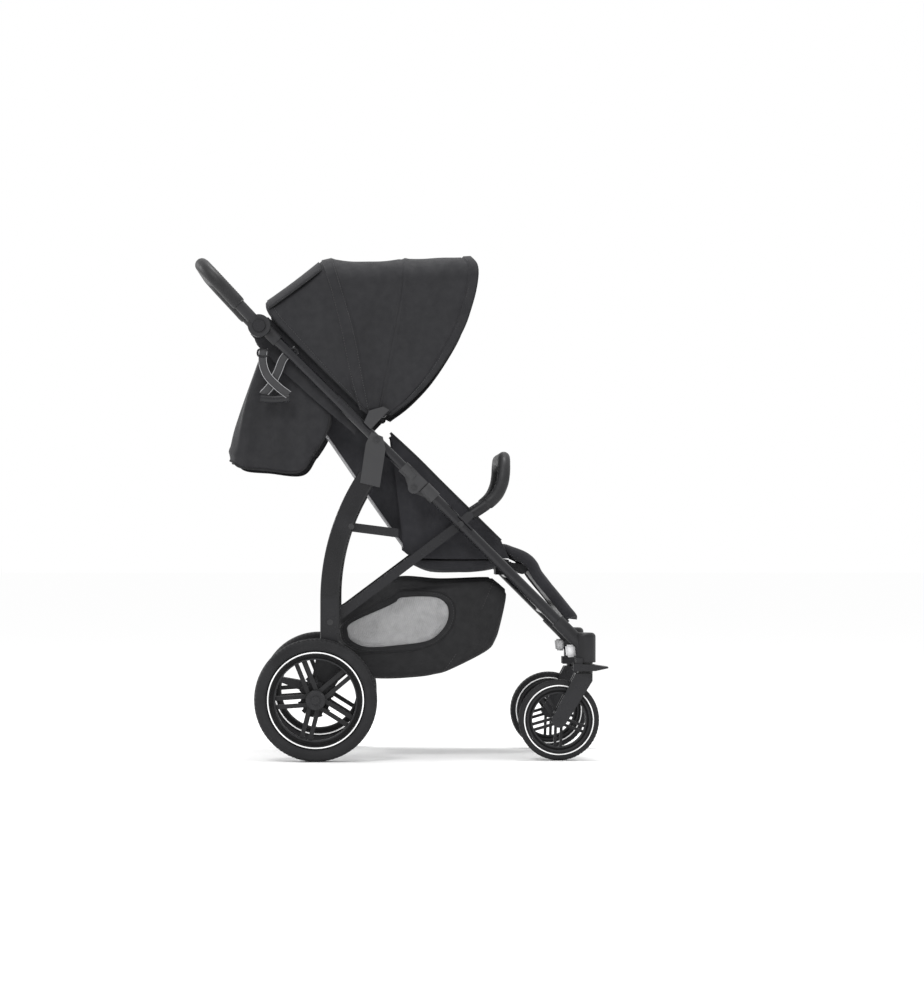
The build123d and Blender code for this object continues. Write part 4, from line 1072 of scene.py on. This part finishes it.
# side walls: soft cloth from the seat and back to the side tubes
wallSettings = {
    "lowerTop": [(0.214, 0.466), (0.151, 0.528), (0.09, 0.588), (0.035, 0.643), (-0.022, 0.696)],
    "lowerBottom": [(0.232, 0.428), (0.17, 0.4265), (0.09, 0.427), (0.030, 0.430), (0.006, 0.444)],
    "upperFront": [(0.04, 0.600), (-0.02, 0.660), (-0.07, 0.711), (-0.12, 0.762), (-0.165, 0.806)],
    "upperRear": [(0.012, 0.447), (-0.045, 0.527), (-0.098, 0.604), (-0.148, 0.677), (-0.198, 0.748)],
    "outer": 0.1862,
    "board": 0.160,
    "fold": 0.0048,
    "cloth": 0.0025,
}


def wallGrid(first, second, outerFirst, outerSecond, side, phase):
    a, b = smoothLine(first, 60), smoothLine(second, 60)
    rows = []
    for t in np.linspace(0, 1, 30):
        flat = a * (1 - t) + b * t
        out = outerFirst * (1 - t) + outerSecond * t
        along = np.linspace(0, 1, 60)
        wave = np.sin(along * 19 + t * 5 + phase) * 0.6 + np.sin(along * 9 - t * 7 + phase * 2)
        ease = np.sin(np.pi * np.clip(along * 1.1, 0, 1)) ** 0.5
        fold = wallSettings["fold"] * wave * math.sin(math.pi * t) * ease
        rows.append(np.stack([flat[:, 0], side * (out - 0.002 + fold), flat[:, 1]], 1))
    return np.array(rows)


for side, word in ((-1, "Right"), (1, "Left")):
    s = wallSettings
    grid = wallGrid(s["lowerTop"], s["lowerBottom"], s["outer"], s["outer"], side, 0.4)
    wall = meshPiece("seatWall" + word, grid.reshape(-1, 3), gridFaces(*grid.shape[:2]), "seat")
    thicken(wall, s["cloth"])
    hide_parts("side_panels")
    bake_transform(wall)
    hem = tubePiece("seatWallHem" + word, grid[0], 0.0028, "binding", None, 8)
    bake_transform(hem)
    grid = wallGrid(s["upperFront"], s["upperRear"], s["outer"] - 0.006, s["board"], side, 1.7)
    wing = meshPiece("backWing" + word, grid.reshape(-1, 3), gridFaces(*grid.shape[:2]), "seat")
    thicken(wing, s["cloth"])
    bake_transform(wing)
    tubePiece("backWingPiping" + word, grid[-1], 0.0024, "piping", "backrest", 8)
print("side walls made")


# straps
harnessSettings = {"away": 0.055, "strapWidth": 0.022, "strapThickness": 0.0022, "lift": 0.0358,
                   "padWidth": 0.042, "padThickness": 0.005, "padLift": 0.0385,
                   "crotchWidth": 0.032, "crotchThickness": 0.0024}


def strapPiece(name, centre, width, side, thickness, material, body):
    line = np.array(centre, float)
    half = np.array(side, float) / np.linalg.norm(side) * width / 2
    half = np.broadcast_to(half, line.shape)
    tangents = np.gradient(line, axis=0)
    normals = np.cross(tangents, half)
    normals = normals / np.maximum(np.linalg.norm(normals, axis=1, keepdims=True), 1e-9)
    rows = []
    for a, up in ((-1, 0.15), (-1, 0.85), (-0.94, 1), (0, 1.06), (0.94, 1), (1, 0.85), (1, 0.15), (0.94, 0),
                  (0, -0.06), (-0.94, 0)):
        rows.append(line + half * a + normals * (up - 0.5) * thickness)
    grid = np.array(rows).transpose(1, 0, 2)
    faces = gridFaces(len(line), 10, wrapColumns=True)
    faces += [tuple(range(9, -1, -1)), tuple((len(line) - 1) * 10 + k for k in range(10))]
    return meshPiece(name, grid.reshape(-1, 3), faces, material, body)


for side, word in ((-1, "Right"), (1, "Left")):
    line = []
    for t in np.linspace(0, 1, 40):
        up = backSettings["start"] + 0.05 + 0.2 * t
        lift = harnessSettings["lift"] + 0.0012 * math.sin(t * 9)
        line.append(tuple(backMatrix @ Vector((side * harnessSettings["away"], up, lift))))
    belt = strapPiece("shoulderStrap" + word, line, harnessSettings["strapWidth"], (0, 1, 0),
                      harnessSettings["strapThickness"], "webbing", "backrest")
    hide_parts("shoulder_straps")
    pad = []
    for t in np.linspace(0, 1, 30):
        up = backSettings["start"] + 0.12 + 0.12 * t
        lift = harnessSettings["padLift"] + 0.0008 * math.sin(t * 7)
        pad.append(tuple(backMatrix @ Vector((side * harnessSettings["away"], up, lift))))
    cover = strapPiece("shoulderPad" + word, pad, harnessSettings["padWidth"], (0, 1, 0),
                       harnessSettings["padThickness"], "seat", "backrest")
crotchLow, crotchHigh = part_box("crotch_strap")
crotchMiddle = (crotchLow + crotchHigh) / 2
crotchLine = [(crotchMiddle.x + 0.003 * math.sin(t * 5), 0, crotchLow.z + (crotchHigh.z - crotchLow.z) * t)
              for t in np.linspace(0, 1, 24)]
crotch = strapPiece("crotchStrap", crotchLine, harnessSettings["crotchWidth"], (0, 1, 0),
                    harnessSettings["crotchThickness"], "webbing", "chassis")
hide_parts("crotch_strap")

# carrying strap: two short bands that cross under the upper tube and meet in a flat foot
carrySettings = {
    "front": [(-0.221, 0.871), (-0.247, 0.855), (-0.261, 0.824), (-0.276, 0.795), (-0.293, 0.775)],
    "rear": [(-0.291, 0.874), (-0.293, 0.845), (-0.283, 0.816), (-0.259, 0.791), (-0.238, 0.775)],
    "foot": [(-0.299, 0.769), (-0.27, 0.7665), (-0.236, 0.769)],
    "footRing": [(0, -0.008), (-0.0034, -0.007), (-0.0036, 0.006), (0, 0.008), (0.003, 0.006),
                 (0.003, -0.007)],
    "y": -0.2335,
    "width": 0.017,
}
for word, away in (("front", 0.0), ("rear", 0.0042)):
    line = smoothLine([(x, carrySettings["y"] - away, z) for x, z in carrySettings[word]], 44)
    tangents = np.gradient(line, axis=0)
    tangents /= np.linalg.norm(tangents, axis=1, keepdims=True)
    sides = np.cross(tangents, (0, 1, 0)) * carrySettings["width"] / 2
    rows = []
    for a, out in ((-1, 0), (-0.9, -0.0009), (0, -0.0011), (0.9, -0.0009), (1, 0), (0.9, 0.0009), (0, 0.0011),
                   (-0.9, 0.0009)):
        rows.append(line + sides * a + np.array((0, out, 0)))
    grid = np.array(rows).transpose(1, 0, 2)
    faces = gridFaces(len(line), 8, wrapColumns=True)
    faces += [tuple(range(7, -1, -1)), tuple((len(line) - 1) * 8 + k for k in range(8))]
    band = meshPiece("carryBand" + word.title(), grid.reshape(-1, 3), faces, "webbing", "upper_frame")
    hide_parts("carry_strap")
    for edge in (-1, 1):
        piping = line + sides * edge * 0.96 + np.array((0, -0.0012, 0))
        tubePiece("carryEdge" + word.title() + ("Low" if edge < 0 else "High"), piping, 0.0007, "piping",
                  "upper_frame", 6)
foot = smoothLine([(x, carrySettings["y"] - 0.002, z) for x, z in carrySettings["foot"]], 24)
footGrid = np.array([foot + (0, out, up) for out, up in carrySettings["footRing"]]).transpose(1, 0, 2)
footFaces = gridFaces(len(foot), 6, wrapColumns=True)
footFaces += [tuple(range(5, -1, -1)), tuple((len(foot) - 1) * 6 + k for k in range(6))]
meshPiece("carryFoot", footGrid.reshape(-1, 3), footFaces, "gloss", "upper_frame")


def sliderPiece(name, x, z, width, height, y, body):
    corners = [(-1, -1), (1, -1), (1, 1), (-1, 1)]
    loop = []
    for sx, sz in corners:
        loop.append((x + sx * width / 2, y, z + sz * height / 2))
    loop = closedLine([(p[0], p[2]) for p in loop], 40)
    line = [(p[0], y, p[1]) for p in loop] + [(loop[0][0], y, loop[0][1])]
    return tubePiece(name, line, 0.0022, "gloss", body, 8)


sliderPiece("carrySliderRear", -0.2925, 0.864, 0.018, 0.013, -0.2385, "upper_frame")
sliderPiece("carrySliderFront", -0.231, 0.866, 0.018, 0.012, -0.2365, "upper_frame")
print("straps made")


# bumper bar: a padded bar under stitched leatherette, with moulded ends
bumperSettings = {"path": [(0.1440, -0.224, 0.5175), (0.1595, -0.224, 0.5275), (0.186, -0.224, 0.5455),
                           (0.2042, -0.224, 0.5635), (0.2150, -0.2235, 0.5863), (0.2190, -0.219, 0.608),
                           (0.2200, -0.205, 0.630), (0.2205, -0.178, 0.6415), (0.2210, -0.13, 0.6432),
                           (0.2215, 0.0, 0.6432)],
                  "radius": 0.0132, "coverStart": 0.048}
bumperHalf = bumperSettings["path"]
bumperLine = smoothLine(bumperHalf + [(x, -y, z) for x, y, z in reversed(bumperHalf[:-1])], 260)
total = lineLength(bumperLine)
travel = np.linspace(0, total, len(bumperLine))
ends = np.minimum(travel, total - travel)
radii = bumperSettings["radius"] * np.where(ends < bumperSettings["coverStart"], 0.9, 1.0)
radii = radii * np.sqrt(np.clip(ends / 0.006, 0.05, 1))
radii = radii - 0.0009 * bell(ends, bumperSettings["coverStart"], 0.0016)
bumperBar = tubePiece("bumperCover", bumperLine, radii, "leather", "bumper", 26)
bumperBar.data.materials.append(finish["moulded"])
startPoint, endPoint = Vector(bumperLine[0]), Vector(bumperLine[-1])
for face in bumperBar.data.polygons:
    away = min((face.center - startPoint).length, (face.center - endPoint).length)
    if away < bumperSettings["coverStart"] - 0.002:
        face.material_index = 1
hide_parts("bumper_bar")
inner = bumperLine[(ends > 0.055)]
towards = np.array((-0.6, 0, -0.8)) * bumperSettings["radius"]
stitchRow("bumperSeamStitches", inner + towards, "bumper", 0.005, 0.0034, 0.0006)

# handle grip: leatherette sleeve sewn along the inside of the handle
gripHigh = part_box("handle_grip")[1]
hubPin = pivot("handle_tilt")
handleDirection = Vector((math.cos(math.radians(133)), 0, math.sin(math.radians(133))))
gripSettings = {"radius": 0.0149, "bend": 0.06, "start": 0.062, "reach": 0.181}
gripTop = hubPin + handleDirection * gripSettings["reach"]
gripY = gripHigh.y - gripSettings["radius"]
gripStart = hubPin + handleDirection * gripSettings["start"]
gripLine = [gripStart + Vector((0, -gripY, 0))]
cornerStart = gripTop - handleDirection * gripSettings["bend"]
for turn in np.linspace(0, math.pi / 2, 20):
    centre = cornerStart + Vector((0, -gripY + gripSettings["bend"], 0))
    gripLine.append(centre + handleDirection * gripSettings["bend"] * math.sin(turn)
                    + Vector((0, -gripSettings["bend"] * math.cos(turn), 0)))
gripHalf = [tuple(p) for p in gripLine]
gripWhole = evenly(gripHalf + [(x, -y, z) for x, y, z in reversed(gripHalf)], 240)
gripTravel = np.linspace(0, lineLength(gripWhole), len(gripWhole))
gripEnds = np.minimum(gripTravel, gripTravel[-1] - gripTravel)
gripRadii = gripSettings["radius"] * (0.93 + 0.07 * np.clip(gripEnds / 0.004, 0, 1))
gripRadii = gripRadii + 0.0003 * bell(gripEnds, 0.012, 0.004)
grip = tubePiece("handleGripCover", gripWhole, gripRadii, "leather", "handle", 28)
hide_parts("handle_grip")
seamDirection = np.array(handleDirection.cross(Vector((0, 1, 0)))) * -gripSettings["radius"]
stitchRow("gripSeamStitches", gripWhole[6:-6] + seamDirection, "handle", 0.0052, 0.0036, 0.0006)
print("bumper and handle covers made")

# pale release tab behind each caster housing
tabSettings = {"size": (0.020, 0.018, 0.026), "place": (0.3600, 0.230, 0.232), "round": 0.0035, "lean": 0.10}
for side, word in ((-1, "Right"), (1, "Left")):
    tab = bmesh.new()
    made = bmesh.ops.create_cube(tab, size=1.0)
    bmesh.ops.scale(tab, vec=tabSettings["size"], verts=made["verts"])
    bmesh.ops.bevel(tab, geom=tab.edges[:], offset=tabSettings["round"], segments=3, affect="EDGES")
    for vert in tab.verts:
        vert.co.x -= tabSettings["lean"] * vert.co.z
        vert.co += Vector(tabSettings["place"]) * Vector((1, side, 1))
    mesh = bpy.data.meshes.new("releaseTab" + word)
    tab.to_mesh(mesh)
    tab.free()
    piece = bpy.data.objects.new("releaseTab" + word, mesh)
    scene.collection.objects.link(piece)
    mesh.materials.append(finish["greyTab"])
    mesh.polygons.foreach_set("use_smooth", [True] * len(mesh.polygons))
    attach(piece, "chassis")
print("small pieces made")


# floor and light
lightSettings = {
    "world": 1.0,
    "key": {"place": (-1.2, -2.6, 3.2), "size": 1.0, "power": 46},
    "top": {"place": (0.3, 0.2, 3.4), "size": 0.8, "power": 52},
    "rear": {"place": (-3.0, 1.2, 1.8), "size": 1.0, "power": 34},
}
floorMesh = bpy.data.meshes.new("studioFloor")
floorMesh.from_pydata([(-30, -12, 0), (30, -12, 0), (30, 40, 0), (-30, 40, 0)], [], [(0, 1, 2, 3)])
floor = bpy.data.objects.new("studioFloor", floorMesh)
scene.collection.objects.link(floor)
floorMaterial = newMaterial("paleFloor", (0.985, 0.985, 0.985), 0.9, specular=0.0)[0]
floorMesh.materials.append(floorMaterial)
world = bpy.data.worlds.new("studioLight")
world.use_nodes = True
world.node_tree.nodes["Background"].inputs["Color"].default_value = (1, 1, 1, 1)
world.node_tree.nodes["Background"].inputs["Strength"].default_value = lightSettings["world"]
scene.world = world
aim = Vector((0, 0, 0.5))
for name in ("key", "top", "rear"):
    data = bpy.data.lights.new(name + "Light", "AREA")
    data.shape = "DISK"
    data.size = lightSettings[name]["size"]
    data.energy = lightSettings[name]["power"]
    lamp = bpy.data.objects.new(name + "Light", data)
    lamp.location = lightSettings[name]["place"]
    lamp.rotation_euler = (aim - lamp.location).to_track_quat("-Z", "Y").to_euler()
    scene.collection.objects.link(lamp)
scene.view_settings.view_transform = "Standard"
print("floor and light set")
